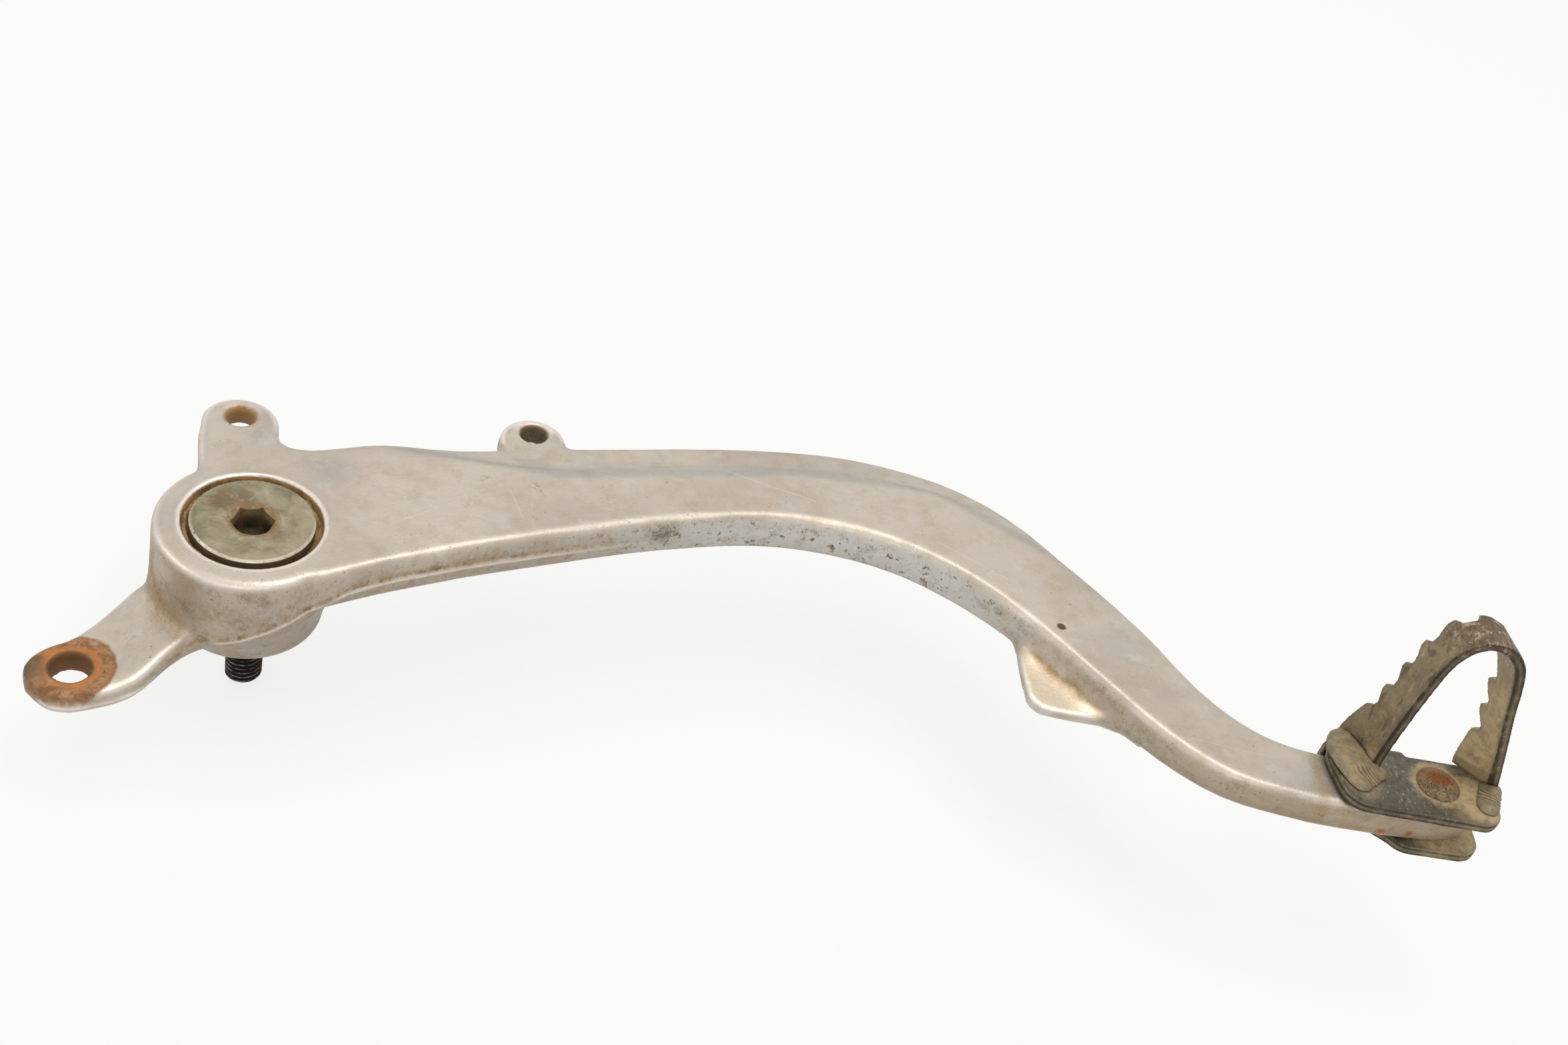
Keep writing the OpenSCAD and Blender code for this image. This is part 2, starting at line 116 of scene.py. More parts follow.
FACE = 26.0
INSET = 0.005
HEAD_TOP = 26.3
THREAD_RADIUS = 4.0
PLATE_TOP = 28.43
PLATE_LOW = 15.57
EAR_HOLE = Hole(-29.2, -30.0, 4.0, 6.0)
SPRING_HOLE = Hole(-9.4, 33.4, 2.9, FACE)
LUG_HOLE = Hole(54.6, 47.2, 3.0, 24.0)
RIVET_HOLE = Hole(258.0, -24.8, 3.0, FACE)
SMALL_HOLES = (EAR_HOLE, SPRING_HOLE, LUG_HOLE, RIVET_HOLE)
PIT: Point = (177.4, 9.0, FACE)


def paint(red: int, green: int, blue: int) -> Colour:
    """Turns a colour written in screen values into a linear one.

    Args:
        red: Red from 0 to 255.
        green: Green from 0 to 255.
        blue: Blue from 0 to 255.

    Returns:
        The linear colour with an alpha of 1.
    """
    values = [c / 255.0 for c in (red, green, blue)]
    linear = [c / 12.92 if c <= 0.04045 else ((c + 0.055) / 1.055) ** 2.4 for c in values]
    return (linear[0], linear[1], linear[2], 1.0)


# Node trees


class Wire:
    """One output of a node tree. Arithmetic on it adds Math nodes."""

    def __init__(self, board: Board, socket: bpy.types.NodeSocket | None) -> None:
        """Keeps the socket and the board it belongs to."""
        self.board = board
        self.socket = socket

    def math(self, operation: str, *terms: Wire | float) -> Wire:
        """Adds one Math node over this value and the terms."""
        return self.board.math(operation, self, *terms)

    def __add__(self, other: Wire | float) -> Wire:
        """Sum."""
        return self.math("ADD", other)

    def __radd__(self, other: float) -> Wire:
        """Sum with a number on the left."""
        return self.board.math("ADD", other, self)

    def __sub__(self, other: Wire | float) -> Wire:
        """Difference."""
        return self.math("SUBTRACT", other)

    def __rsub__(self, other: float) -> Wire:
        """Difference with a number on the left."""
        return self.board.math("SUBTRACT", other, self)

    def __mul__(self, other: Wire | float) -> Wire:
        """Product."""
        return self.math("MULTIPLY", other)

    def __rmul__(self, other: float) -> Wire:
        """Product with a number on the left."""
        return self.board.math("MULTIPLY", other, self)

    def __truediv__(self, other: Wire | float) -> Wire:
        """Quotient."""
        return self.math("DIVIDE", other)

    def limit(self) -> Wire:
        """Holds the value between 0 and 1."""
        return self.board.node("ShaderNodeClamp", {}, {"Value": self})

    def most(self, other: Wire | float) -> Wire:
        """The larger of two values."""
        return self.math("MAXIMUM", other)

    def ramp(self, low: float, high: float) -> Wire:
        """Rises smoothly from 0 at low to 1 at high, or falls where low is above high.

        Args:
            low: Value at which the result is 0.
            high: Value at which the result is 1.

        Returns:
            The eased value.
        """
        falls = low > high
        sockets = {"Value": self, "From Min": min(low, high), "From Max": max(low, high)}
        sockets.update({"To Min": float(falls), "To Max": float(not falls)})
        return self.board.node("ShaderNodeMapRange", {"interpolation_type": "SMOOTHSTEP"}, sockets)


class Board:
    """A node tree, and the one way to add a node to it."""

    def __init__(self, tree: bpy.types.NodeTree) -> None:
        """Empties the tree."""
        self.tree = tree
        self.tree.nodes.clear()

    def node(
        self,
        kind: str,
        settings: dict[str, Any] | None = None,
        sockets: dict[Any, Any] | None = None,
        out: int | str = 0,
    ) -> Wire:
        """Adds a node of any type.

        Args:
            kind: The node's type.
            settings: Its settings, set first.
            sockets: Values or wires of its inputs, by name or number.
            out: The output to return.

        Returns:
            The wire of that output, or an empty one where the node has none.
        """
        made = self.tree.nodes.new(kind)
        for key, value in (settings or {}).items():
            setattr(made, key, value)
        for key, value in (sockets or {}).items():
            if isinstance(value, Wire):
                self.tree.links.new(value.socket, made.inputs[key])
            else:
                made.inputs[key].default_value = value
        return Wire(self, made.outputs[out] if made.outputs else None)

    def math(self, operation: str, *terms: Wire | float) -> Wire:
        """Adds a Math node over the terms."""
        return self.node("ShaderNodeMath", {"operation": operation}, dict(enumerate(terms)))

    def vector(self, operation: str, *terms: Any, out: int = 0) -> Wire:
        """Adds a Vector Math node over the terms."""
        return self.node("ShaderNodeVectorMath", {"operation": operation}, dict(enumerate(terms)), out)

    def part(self, vector: Wire, axis: int) -> Wire:
        """One part of a vector, by its number."""
        return self.node("ShaderNodeSeparateXYZ", {}, {0: vector}, axis)

    def joined(self, x: Wire, y: Wire, z: Wire) -> Wire:
        """Three values as a vector."""
        return self.node("ShaderNodeCombineXYZ", {}, {0: x, 1: y, 2: z})

    def ray(self, kind: str) -> Wire:
        """1 for rays of a kind, such as Camera, and 0 for others."""
        return self.node("ShaderNodeLightPath", out=f"Is {kind} Ray")


class Bench(Board):
    """Builds one finish in layers of colour, with coordinates in millimetres."""

    def __init__(self, name: str, colour: Colour) -> None:
        """Makes an empty material.

        Args:
            name: Name of the material.
            colour: The bare colour, under all layers.
        """
        self.material = bpy.data.materials.new(name)
        self.material.use_nodes = True
        super().__init__(self.material.node_tree)
        self.colour: Wire | Colour = colour

    @cached_property
    def mm(self) -> Wire:
        """Coordinates of the piece in millimetres."""
        place = self.node("ShaderNodeTexCoord", out="Object")
        return self.vector("MULTIPLY", place, (1 / MM, 1 / MM, 1 / MM))

    @cached_property
    def height(self) -> Wire:
        """Height along the pivot's direction."""
        return self.part(self.mm, 2)

    def radius(self) -> Wire:
        """Distance from the pivot's axis."""
        return self.vector("LENGTH", self.stretched(FLAT), out=1)

    def stretched(self, scale: Point) -> Wire:
        """The coordinates, scaled along each axis."""
        return self.vector("MULTIPLY", self.mm, scale)

    def noise(
        self,
        size: float,
        detail: float = 3.0,
        rough: float = 0.55,
        warp: float = 0.0,
        scale: Point | None = None,
    ) -> Wire:
        """Noise with features of about the given size.

        Args:
            size: Size of the features in millimetres.
            detail: Octaves.
            rough: Weight of the finer octaves.
            warp: Distortion.
            scale: Stretches the pattern where an axis is below 1.

        Returns:
            A value that centres on 0.5.
        """
        sockets = {"Vector": self.stretched(scale) if scale else self.mm, "Scale": 1.0 / size}
        sockets.update({"Detail": detail, "Roughness": rough, "Distortion": warp})
        return self.node("ShaderNodeTexNoise", {}, sockets)

    def specks(self, size: float, share: float, radius: float) -> Wire:
        """Small round specks in some of the cells of a random pattern.

        Args:
            size: Cell size in millimetres.
            share: Share of the cells that hold a speck.
            radius: Radius of a speck in cells.

        Returns:
            1 on a speck and 0 elsewhere.
        """
        settings = {"feature": "F1", "distance": "EUCLIDEAN"}
        sockets = {"Vector": self.mm, "Scale": 1.0 / size, "Randomness": 1.0}
        distance = self.node("ShaderNodeTexVoronoi", settings, sockets, "Distance")
        cell = self.node("ShaderNodeTexVoronoi", settings, sockets, "Color")
        pick = self.node("ShaderNodeSeparateColor", {}, {"Color": cell})
        return distance.ramp(radius, radius * 0.5) * pick.ramp(share, share * 0.8)

    def spot(self, centre: Point, near: float, far: float, ragged: float = 0.0) -> Wire:
        """A round mark about a point, 1 inside near and 0 beyond far.

        Args:
            centre: Middle of the mark in millimetres.
            near: Radius up to which it is full.
            far: Radius at which it ends.
            ragged: Unevenness of its edge in millimetres.

        Returns:
            The mask.
        """
        distance = self.vector("DISTANCE", self.mm, centre, out=1)
        if ragged:
            distance = distance + (self.noise(1.7, 4.0) - 0.5) * ragged * 2.0
        return distance.ramp(far, near)

    def marks(self, marks: Sequence[Mark], ragged: float) -> Wire:
        """The strongest of several round marks at each place."""
        return reduce(Wire.most, [self.spot(m.at, m.near, m.far, ragged) * m.amount for m in marks])

    def stroke(self, start: Point, end: Point, width: float) -> Wire:
        """A thin straight mark between two points.

        Args:
            start: First point in millimetres.
            end: Last point in millimetres.
            width: Half width in millimetres.

        Returns:
            The mask.
        """
        along = Vector(end) - Vector(start)
        offset = self.vector("SUBTRACT", self.mm, start)
        share = (self.vector("DOT_PRODUCT", offset, tuple(along), out=1) / along.length_squared).limit()
        foot = self.vector("MULTIPLY_ADD", self.joined(share, share, share), tuple(along), start)
        return self.vector("DISTANCE", self.mm, foot, out=1).ramp(width, width * 0.3)

    def stored(self, name: str) -> Wire:
        """A number kept on the mesh's points."""
        return self.node("ShaderNodeAttribute", {"attribute_name": name}, out="Fac")

    def mix(self, mask: Wire | float, below: Wire | Colour, above: Wire | Colour) -> Wire:
        """One colour over another, where the mask shows it."""
        sockets = {0: mask, 6: below, 7: above}
        return self.node("ShaderNodeMix", {"data_type": "RGBA", "clamp_factor": True}, sockets, 2)

    def lay(self, mask: Wire | float, colour: Wire | Colour) -> None:
        """Lays a colour over the layers so far, where the mask shows it."""
        self.colour = self.mix(mask, self.colour, colour)

    def surface(
        self, roughness: Wire | float, metallic: Wire | float, height: Wire, relief: float
    ) -> bpy.types.Material:
        """Ends the material in one metal and dirt shader.

        Args:
            roughness: Roughness.
            metallic: Share of bare metal.
            height: Height that drives the relief.
            relief: Depth of the relief in millimetres.

        Returns:
            The finished material.
        """
        normal = self.node("ShaderNodeBump", {}, {"Strength": 1.0, "Distance": relief * MM, "Height": height})
        sockets = {"Base Color": self.colour, "Roughness": roughness, "Metallic": metallic, "Normal": normal}
        shader = self.node("ShaderNodeBsdfPrincipled", {}, sockets)
        self.node("ShaderNodeOutputMaterial", {}, {"Surface": shader})
        return self.material


class Tree(Board):
    """A geometry node tree with named inputs for its sizes."""

    def __init__(self, name: str) -> None:
        """Makes a tree that takes and gives one geometry.

        Args:
            name: Name of the tree.
        """
        super().__init__(bpy.data.node_groups.new(name, "GeometryNodeTree"))
        for way in ("INPUT", "OUTPUT"):
            self.tree.interface.new_socket("Geometry", in_out=way, socket_type="NodeSocketGeometry")
        self.inputs = self.tree.nodes.new("NodeGroupInput")
        self.values: dict[str, float] = {}

    def size(self, name: str, value: float) -> Wire:
        """Adds a named input and keeps its value for the run.

        Args:
            name: Its name.
            value: Its value in millimetres.

        Returns:
            The size inside the tree, in metres.
        """
        item = self.tree.interface.new_socket(name, in_out="INPUT", socket_type="NodeSocketFloat")
        self.values[item.identifier] = value * MM
        return Wire(self, self.inputs.outputs[name])

    def bake(self, geometry: Wire, material: bpy.types.Material, name: str) -> bpy.types.Object:
        """Ends the tree, runs it and keeps its result as a plain mesh.

        Args:
            geometry: The geometry to keep.
            material: The material to set.
            name: Name of the piece.

        Returns:
            The piece, linked to the scene.
        """
        real = self.node("GeometryNodeRealizeInstances", {}, {"Geometry": geometry})
        done = self.node("GeometryNodeSetMaterial", {}, {"Geometry": real, "Material": material})
        self.node("NodeGroupOutput", {}, {0: done})
        carrier = linked(f"{name}_carrier", bpy.data.meshes.new(f"{name}_carrier"))
        run = carrier.modifiers.new("tree", "NODES")
        run.node_group = self.tree
        for identifier, value in self.values.items():
            run[identifier] = value
        mesh = evaluated_mesh(carrier, name)
        bpy.data.objects.remove(carrier)
        return linked(name, mesh)


# Finishes


class AlloyPatterns:
    """The stored masks and noises that the alloy's layers share."""

    def __init__(self, b: Bench) -> None:
        """Adds them to the alloy's bench.

        Args:
            b: The alloy's bench.
        """
        self.wall = b.stored("wall")
        self.edge = b.stored("edge")
        self.fleck = b.stored("fleck")
        self.grime = b.stored("grime")
        self.shelf = b.stored("shelf")
        self.mottle = b.noise(5.0, 5.0, 0.65, 0.4)
        self.patch = b.noise(2.6, 5.0, 0.7, 0.6)
        self.fine = b.noise(1.1, 4.0, 0.6)
        self.grit = b.noise(0.45, 3.0, 0.6)


@dataclass(frozen=True)
class AlloyFinish:
    """Satin forged alloy with dirt, darker inner corners, painted shade on its walls, and bright edges that
    are partly worn metal and partly a painted highlight.
    """

    name: str = "worn_forged_alloy"
    light: Colour = paint(197, 187, 173)
    dark: Colour = paint(184, 173, 159)
    cool: Colour = paint(180, 176, 170)
    # pale: random pale tones, and a painted reflection on the outward walls.
    pale: Colour = paint(206, 206, 203)
    cream: Colour = paint(226, 208, 180)
    # bright: edges that are partly worn metal and partly a painted highlight, and scratches.
    bright: Colour = paint(240, 230, 220)
    tan: Colour = paint(158, 140, 112)
    grime: Colour = paint(132, 112, 80)
    muck: Colour = paint(166, 146, 114)
    ochre: Colour = paint(160, 128, 78)
    brown: Colour = paint(92, 76, 52)
    rust: Colour = paint(170, 112, 58)
    orange: Colour = paint(196, 122, 58)
    spot_rust: Colour = paint(158, 90, 28)
    # ledge: painted shade along the ledge's crease.
    ledge: Colour = paint(160, 157, 151)
    deep_rust: Colour = paint(112, 78, 44)
    olive: Colour = paint(100, 88, 62)
    sump: Colour = paint(192, 154, 98)
    roughness: float = 0.4
    metallic: float = 0.94
    relief: float = 0.13
    ear_end: Point = (-35.5, -33.5, 5.0)
    ear_tip: Point = (-37.0, -32.0, 5.0)
    dark_patch: Point = (86.5, 21.3, 23.5)
    gathered: tuple[Mark, ...] = (
        Mark((225.5, -15.0, FACE), 2.0, 7.0),
        Mark((33.0, -2.0, FACE), 3.0, 11.0, 0.6),
    )
    smears: tuple[Mark, ...] = (
        Mark((57.0, 25.5, FACE), 0.2, 3.2, 0.75),
        Mark((46.0, 26.0, FACE), 0.2, 2.4, 0.45),
        Mark((37.5, 27.5, FACE), 0.2, 1.6, 0.4),
        Mark((27.0, 29.0, FACE), 0.2, 1.4, 0.5),
        Mark((43.5, 17.5, FACE), 0.2, 3.4, 0.35),
        Mark((57.5, 16.5, FACE), 0.2, 2.0, 0.55),
        Mark((118.0, 40.5, FACE), 0.2, 3.6, 0.3),
        Mark((92.0, 27.5, FACE), 0.2, 5.0, 0.3),
        Mark((110.0, 32.0, FACE), 0.2, 6.0, 0.3),
        Mark((72.0, 27.0, FACE), 0.2, 6.0, 0.22),
        Mark((-19.0, -20.5, 8.0), 0.2, 5.0, 0.45),
        Mark((-16.0, -24.0, 6.5), 0.2, 4.0, 0.3),
    )
    rust_spots: tuple[Mark, ...] = (
        Mark((237.3, -31.4, 20.4), 0.2, 2.0),
        Mark((246.3, -32.6, 20.0), 0.2, 1.9),
        Mark((252.6, -32.8, 20.4), 0.2, 1.3),
    )
    scratches: tuple[tuple[Point, Point, float], ...] = (
        ((51.5, 23.5, FACE), (55.0, 15.0, FACE), 0.22),
        ((56.5, 21.0, FACE), (57.5, 12.0, FACE), 0.16),
        ((30.0, 8.0, FACE), (44.0, 20.0, FACE), 0.12),
        ((98.0, 44.0, FACE), (121.0, 38.0, FACE), 0.13),
        ((150.0, 31.0, FACE), (166.0, 22.0, FACE), 0.13),
        ((203.0, -20.0, FACE), (222.0, -22.0, FACE), 0.13),
    )

    def make(self) -> bpy.types.Material:
        """Builds the material.

        Returns:
            The alloy's material.
        """
        b = Bench(self.name, self.light)
        p = AlloyPatterns(b)
        self._metal(b, p)
        # soil holds the painted wall shade and the darker inner corners along with thin soil.
        soil, stains = self._dirt(b, p)
        flecks, blots = self._flecks(b, p)
        scratches = self._scratches(b)
        ring, holes = self._hole_rust(b, p.patch)
        # Bright edges: convex edges and the flash line's crest, less on the walls; partly worn metal and
        # partly a painted highlight.
        crest = b.stored("crest")
        worn = p.edge.ramp(0.2, 0.42) * (1.0 - p.wall * 0.5) + crest * 0.9
        worn = worn * (1.0 - ring.most(holes)) * (1.0 - p.grime * 0.4)
        b.lay(worn * (0.5 + p.fine * 0.5) + scratches * 0.2, self.bright)
        self._ear_rust(b, p, ring)
        inside = b.mix(b.spot(SPRING_HOLE.rim(), 9.0, 12.0), self.deep_rust, self.ochre)
        inside = b.mix(b.spot(LUG_HOLE.rim(), 9.0, 12.0), inside, self.olive)
        b.lay(holes * 0.95, inside)
        sump = b.stored("sump")
        b.lay(sump * 0.95, self.sump)
        b.lay(sump * p.patch.ramp(0.45, 0.6) * 0.6, self.brown)
        pit = b.spot(PIT, 0.75, 1.2, 0.3)
        b.lay(pit, self.brown)

        dirt = (soil * 0.45 + p.grime * 0.5 + stains * 0.7 + ring * 0.85 + holes + sump + blots + pit).limit()
        roughness = self.roughness + dirt * 0.3 + (p.mottle - 0.5) * 0.22 + (p.grit - 0.5) * 0.15 - worn * 0.1
        height = p.grit * 0.3 + p.mottle * 0.3 + p.fine * 0.35 - flecks * 0.5 - blots * 0.3 - scratches * 0.2
        metallic = (self.metallic - dirt * 0.75).limit()
        return b.surface(roughness.limit(), metallic, height - pit * 2.0, self.relief)

    def _metal(self, b: Bench, p: AlloyPatterns) -> None:
        """Lays the uneven tones of the bare metal, a painted pale reflection on the outward walls, painted
        shade along the ledge and a pale cream on the fin's upper face.

        Args:
            b: The alloy's bench.
            p: The shared patterns.
        """
        b.lay(b.noise(30.0, 3.0, 0.5).ramp(0.35, 0.65), self.dark)
        b.lay(b.noise(17.0, 3.0, 0.5).ramp(0.5, 0.7) * 0.5, self.cool)
        drift = b.noise(9.0, 6.0, 0.68).ramp(0.46, 0.66)
        b.lay(drift * 0.2 + p.mottle.ramp(0.45, 0.75) * 0.25 + (p.grit - 0.5) * 0.3, self.tan)
        b.lay(b.noise(6.0, 5.0, 0.6).ramp(0.55, 0.72) * 0.3, self.pale)
        # Painted reflection: pale patches on the outward walls among the flecks.
        b.lay(p.fleck * p.wall * p.patch.ramp(0.3, 0.5) * 0.8, self.pale)
        # Painted shade: a grey line along the ledge's crease.
        b.lay(b.stored("ledge") * (0.25 + p.mottle * 0.6), self.ledge)
        b.lay(p.shelf * (0.75 + (p.mottle - 0.5) * 0.4), self.cream)

    def _dirt(self, b: Bench, p: AlloyPatterns) -> tuple[Wire, Wire]:
        """Lays painted shade with thin soil on the walls, darkens the inner corners, and lays the dirt of the
        flash line and the bracket's end.

        Args:
            b: The alloy's bench.
            p: The shared patterns.

        Returns:
            The mask of the painted wall shade with thin soil and darker corners, and that of the thicker
            stains.
        """
        # Painted shade: walls darker than the tops and more so lower down, broken up by noise like thin soil.
        # Inner corners are darker too.
        wall_shade_and_soil = 0.3 + b.height.ramp(24.5, 16.0) * 0.2 + p.mottle.ramp(0.42, 0.62) * 0.4
        wall_shade_and_soil = p.wall * wall_shade_and_soil * (1.0 - p.fleck * 0.75)
        cavity = p.edge.ramp(-0.05, -0.3) * (0.45 + p.mottle.ramp(0.35, 0.6) * 0.45)
        soil = (wall_shade_and_soil * p.fine.ramp(0.15, 0.6) + cavity * 0.6).limit()
        b.lay(soil * 0.8, self.tan)
        streak = b.noise(1.2, 6.0, 0.7, 0.0, (0.3, 0.3, 1.0))
        b.lay(p.grime * (0.45 + streak.ramp(0.36, 0.66) * 0.4), self.muck)
        b.lay(p.grime * b.height.ramp(22.0, 17.5) * (0.3 + p.mottle * 0.5), self.grime)
        line = b.stored("seam")
        seam = line * p.patch.ramp(0.38, 0.6)
        b.lay(seam * 0.85, self.ochre)
        b.lay(line * b.noise(1.3, 4.0).ramp(0.5, 0.62) * 0.55, self.brown)
        ochre = b.stored("ochre") * (0.55 + b.noise(3.0, 5.0, 0.65).ramp(0.36, 0.62) * 0.45)
        b.lay(ochre * 0.85, self.ochre)
        b.lay(ochre * p.grit.ramp(0.5, 0.64) * 0.4, self.brown)
        stain = b.noise(4.0, 6.0, 0.72).ramp(0.54, 0.63) * p.grit.ramp(0.3, 0.6)
        b.lay(p.wall * stain * 0.4 * (1.0 - p.shelf), self.brown)
        return soil, seam + ochre

    def _flecks(self, b: Bench, p: AlloyPatterns) -> tuple[Wire, Wire]:
        """Lays brown flecks, dark blots, smears and rust spots.

        Args:
            b: The alloy's bench.
            p: The shared patterns.

        Returns:
            The masks of the flecks and of the blots.
        """
        rims = p.edge.ramp(0.05, 0.2) * b.noise(3.0, 3.0).ramp(0.42, 0.6)
        flecks = b.specks(1.5, 0.25, 0.2) * p.fleck
        flecks = flecks + b.specks(0.8, 0.32, 0.22) * (p.wall * 0.6 + rims * 0.6).limit()
        flecks = (flecks + b.specks(1.7, 0.2, 0.1) * 0.8 + b.specks(5.0, 0.3, 0.06) * 0.8).limit()
        spots = [b.spot(m.at, m.near, m.far, m.near) * m.amount for m in self.gathered]
        flecks = flecks.most(reduce(Wire.most, spots) * b.specks(1.0, 0.5, 0.2))
        blots = p.fleck * p.wall * b.noise(2.2, 5.0, 0.68).ramp(0.585, 0.64)
        b.lay(blots * 0.8, self.grime)
        b.lay(blots * p.fine.ramp(0.5, 0.62) * 0.6, self.brown)
        b.lay(flecks * p.fine.ramp(0.25, 0.5) * 0.85, self.brown)
        patch = b.spot(self.dark_patch, 1.5, 6.0, 1.5) * p.wall * p.grit.ramp(0.3, 0.5)
        b.lay(patch * p.patch.ramp(0.36, 0.52) * 0.85, self.olive)
        streak = b.noise(1.6, 4.0, 0.6, 1.2).ramp(0.5, 0.62)
        b.lay((b.marks(self.smears, 0.6) * streak * (0.7 + p.patch * 0.6)).limit(), self.ochre)
        b.lay(b.marks(self.rust_spots, 0.8) * p.patch.ramp(0.3, 0.5), self.spot_rust)
        return flecks, blots

    def _hole_rust(self, b: Bench, patch: Wire) -> tuple[Wire, Wire]:
        """Masks the rust round the holes and on their walls.

        Args:
            b: The alloy's bench.
            patch: Uneven noise that breaks the rust up.

        Returns:
            The mask round the holes and the mask inside them.
        """
        ear = b.spot(EAR_HOLE.rim(), 8.3, 9.3, 0.45) * (0.62 + patch.ramp(0.25, 0.5) * 0.38)
        end = b.spot(self.ear_end, 2.0, 7.0, 1.0) * patch.ramp(0.32, 0.56) * 0.7
        spring = b.spot(SPRING_HOLE.rim(), 2.9, 4.6, 0.25) * 0.8
        lug = b.spot(LUG_HOLE.rim(), 2.8, 4.4, 0.3) * 0.5
        return ear.most(end).most(spring).most(lug), b.stored("hole") * (0.7 + patch.ramp(0.3, 0.6) * 0.3)

    def _ear_rust(self, b: Bench, p: AlloyPatterns, ring: Wire) -> None:
        """Lays the rust round the holes, with the washer's print about the ear's hole.

        Args:
            b: The alloy's bench.
            p: The shared patterns.
            ring: Mask round the holes.
        """
        at = EAR_HOLE.rim()
        b.lay(ring * 0.9, self.rust)
        core = b.spot(at, 5.4, 6.6, 0.4)
        b.lay(core * ring * p.patch.ramp(0.3, 0.5) * 0.8, self.orange)
        rusted = ring * b.noise(2.4, 6.0, 0.7, 0.4).ramp(0.46, 0.6) * (1.0 - core * 0.7)
        b.lay(rusted * 0.75, self.deep_rust)
        b.lay(ring * p.fine.ramp(0.5, 0.66) * 0.3, self.tan)
        b.lay(b.spot(at, 8.7, 9.3, 0.3) * b.spot(at, 8.6, 7.8, 0.3) * ring * 0.5, self.deep_rust)
        b.lay(b.spot(self.ear_tip, 1.5, 6.0, 1.2) * (0.4 + p.patch * 0.6), self.brown)
        b.lay(b.spot(at, 4.3, 4.9, 0.25) * 0.8, self.deep_rust)

    def _scratches(self, b: Bench) -> Wire:
        """Masks the faint scratches on the outboard face.

        Args:
            b: The alloy's bench.

        Returns:
            The mask.
        """
        fine = b.noise(0.5, 2.0, 0.5, 0.0, (0.05, 1.0, 1.0))
        strokes = reduce(Wire.most, [b.stroke(*mark) for mark in self.scratches])
        return strokes.most(fine.ramp(0.66, 0.74) * 0.35)


@dataclass(frozen=True)
class BoltFinish:
    """Dull olive plating on the bolt's head, with brown smears, painted shade in its socket and on its side,
    and a painted highlight on its chamfer.
    """

    name: str = "olive_plated_bolt"
    plate: Colour = paint(164, 155, 130)
    shade: Colour = paint(140, 131, 104)
    smear: Colour = paint(112, 90, 58)
    haze: Colour = paint(186, 180, 160)
    dull: Colour = paint(112, 110, 94)
    # soot: dark dirt, and painted shade in the socket and on the head's side.
    soot: Colour = paint(50, 43, 32)
    tan: Colour = paint(136, 114, 78)
    rust: Colour = paint(140, 104, 60)
    # rim: the painted highlight on the head's chamfer.
    rim: Colour = paint(218, 206, 186)
    roughness: float = 0.4
    metallic: float = 0.85
    relief: float = 0.035
    smears: tuple[Mark, ...] = (
        Mark((-3.5, 5.5, HEAD_TOP), 1.0, 4.0, 0.8),
        Mark((6.0, -3.5, HEAD_TOP), 0.5, 4.0, 0.6),
    )

    def make(self) -> bpy.types.Material:
        """Builds the material.

        Returns:
            The bolt's material.
        """
        b = Bench(self.name, self.plate)
        cloud = b.noise(7.0, 5.0, 0.6, 0.5)
        drag = b.noise(3.4, 5.0, 0.65, 0.8, (0.55, 1.5, 1.0))
        fine = b.noise(0.8, 4.0, 0.6)
        haze = b.noise(2.4, 5.0, 0.65)
        height, radius = b.height, b.radius()
        b.lay(cloud.ramp(0.35, 0.65), self.shade)
        smear = drag.ramp(0.5, 0.68) * 0.5 + b.spot((-7.0, 4.5, HEAD_TOP), 1.5, 5.5, 1.8) * 0.95
        smear = smear.most(b.marks(self.smears, 1.2)).limit()
        b.lay(smear * (0.6 + haze * 0.5), self.smear)
        b.lay(haze.ramp(0.52, 0.66) * 0.3, self.haze)
        socket = radius.ramp(5.6, 4.9) * height.ramp(26.0, 25.4)
        b.lay(socket * (0.6 + fine.ramp(0.35, 0.6) * 0.4), self.tan)
        # Painted shade deeper down the hex socket, with dark specks of dirt.
        b.lay(socket * height.ramp(24.6, 22.6) * 0.8 + socket * fine.ramp(0.55, 0.7) * 0.4, self.soot)
        ring = radius.ramp(6.1, 5.2) * radius.ramp(4.0, 4.6) * fine.ramp(0.36, 0.56)
        b.lay(ring * 0.8, self.rust)
        # Painted shade on the head's side, which sits down in the counterbore's gap.
        side = radius.ramp(12.78, 12.88) * height.ramp(25.75, 25.5)
        b.lay(side * (0.45 + fine * 0.5), self.soot)
        b.lay(cloud.ramp(0.52, 0.7) * 0.5 * (1.0 - side), self.dull)
        # Painted highlight along the head's top chamfer, broken up by noise.
        b.lay(radius.ramp(12.3, 12.55) * height.ramp(25.5, 25.85) * fine.ramp(0.3, 0.5) * 0.7, self.rim)
        dirt = (smear * 0.6 + socket * 0.9 + side * 0.7 + ring * 0.6).limit()
        roughness = (self.roughness + dirt * 0.25 + (cloud - 0.5) * 0.25 + (haze - 0.5) * 0.2).limit()
        grain = fine * 0.35 + b.noise(0.3, 2.0) * 0.3 + haze * 0.2
        return b.surface(roughness, (self.metallic - dirt * 0.6).limit(), grain, self.relief)


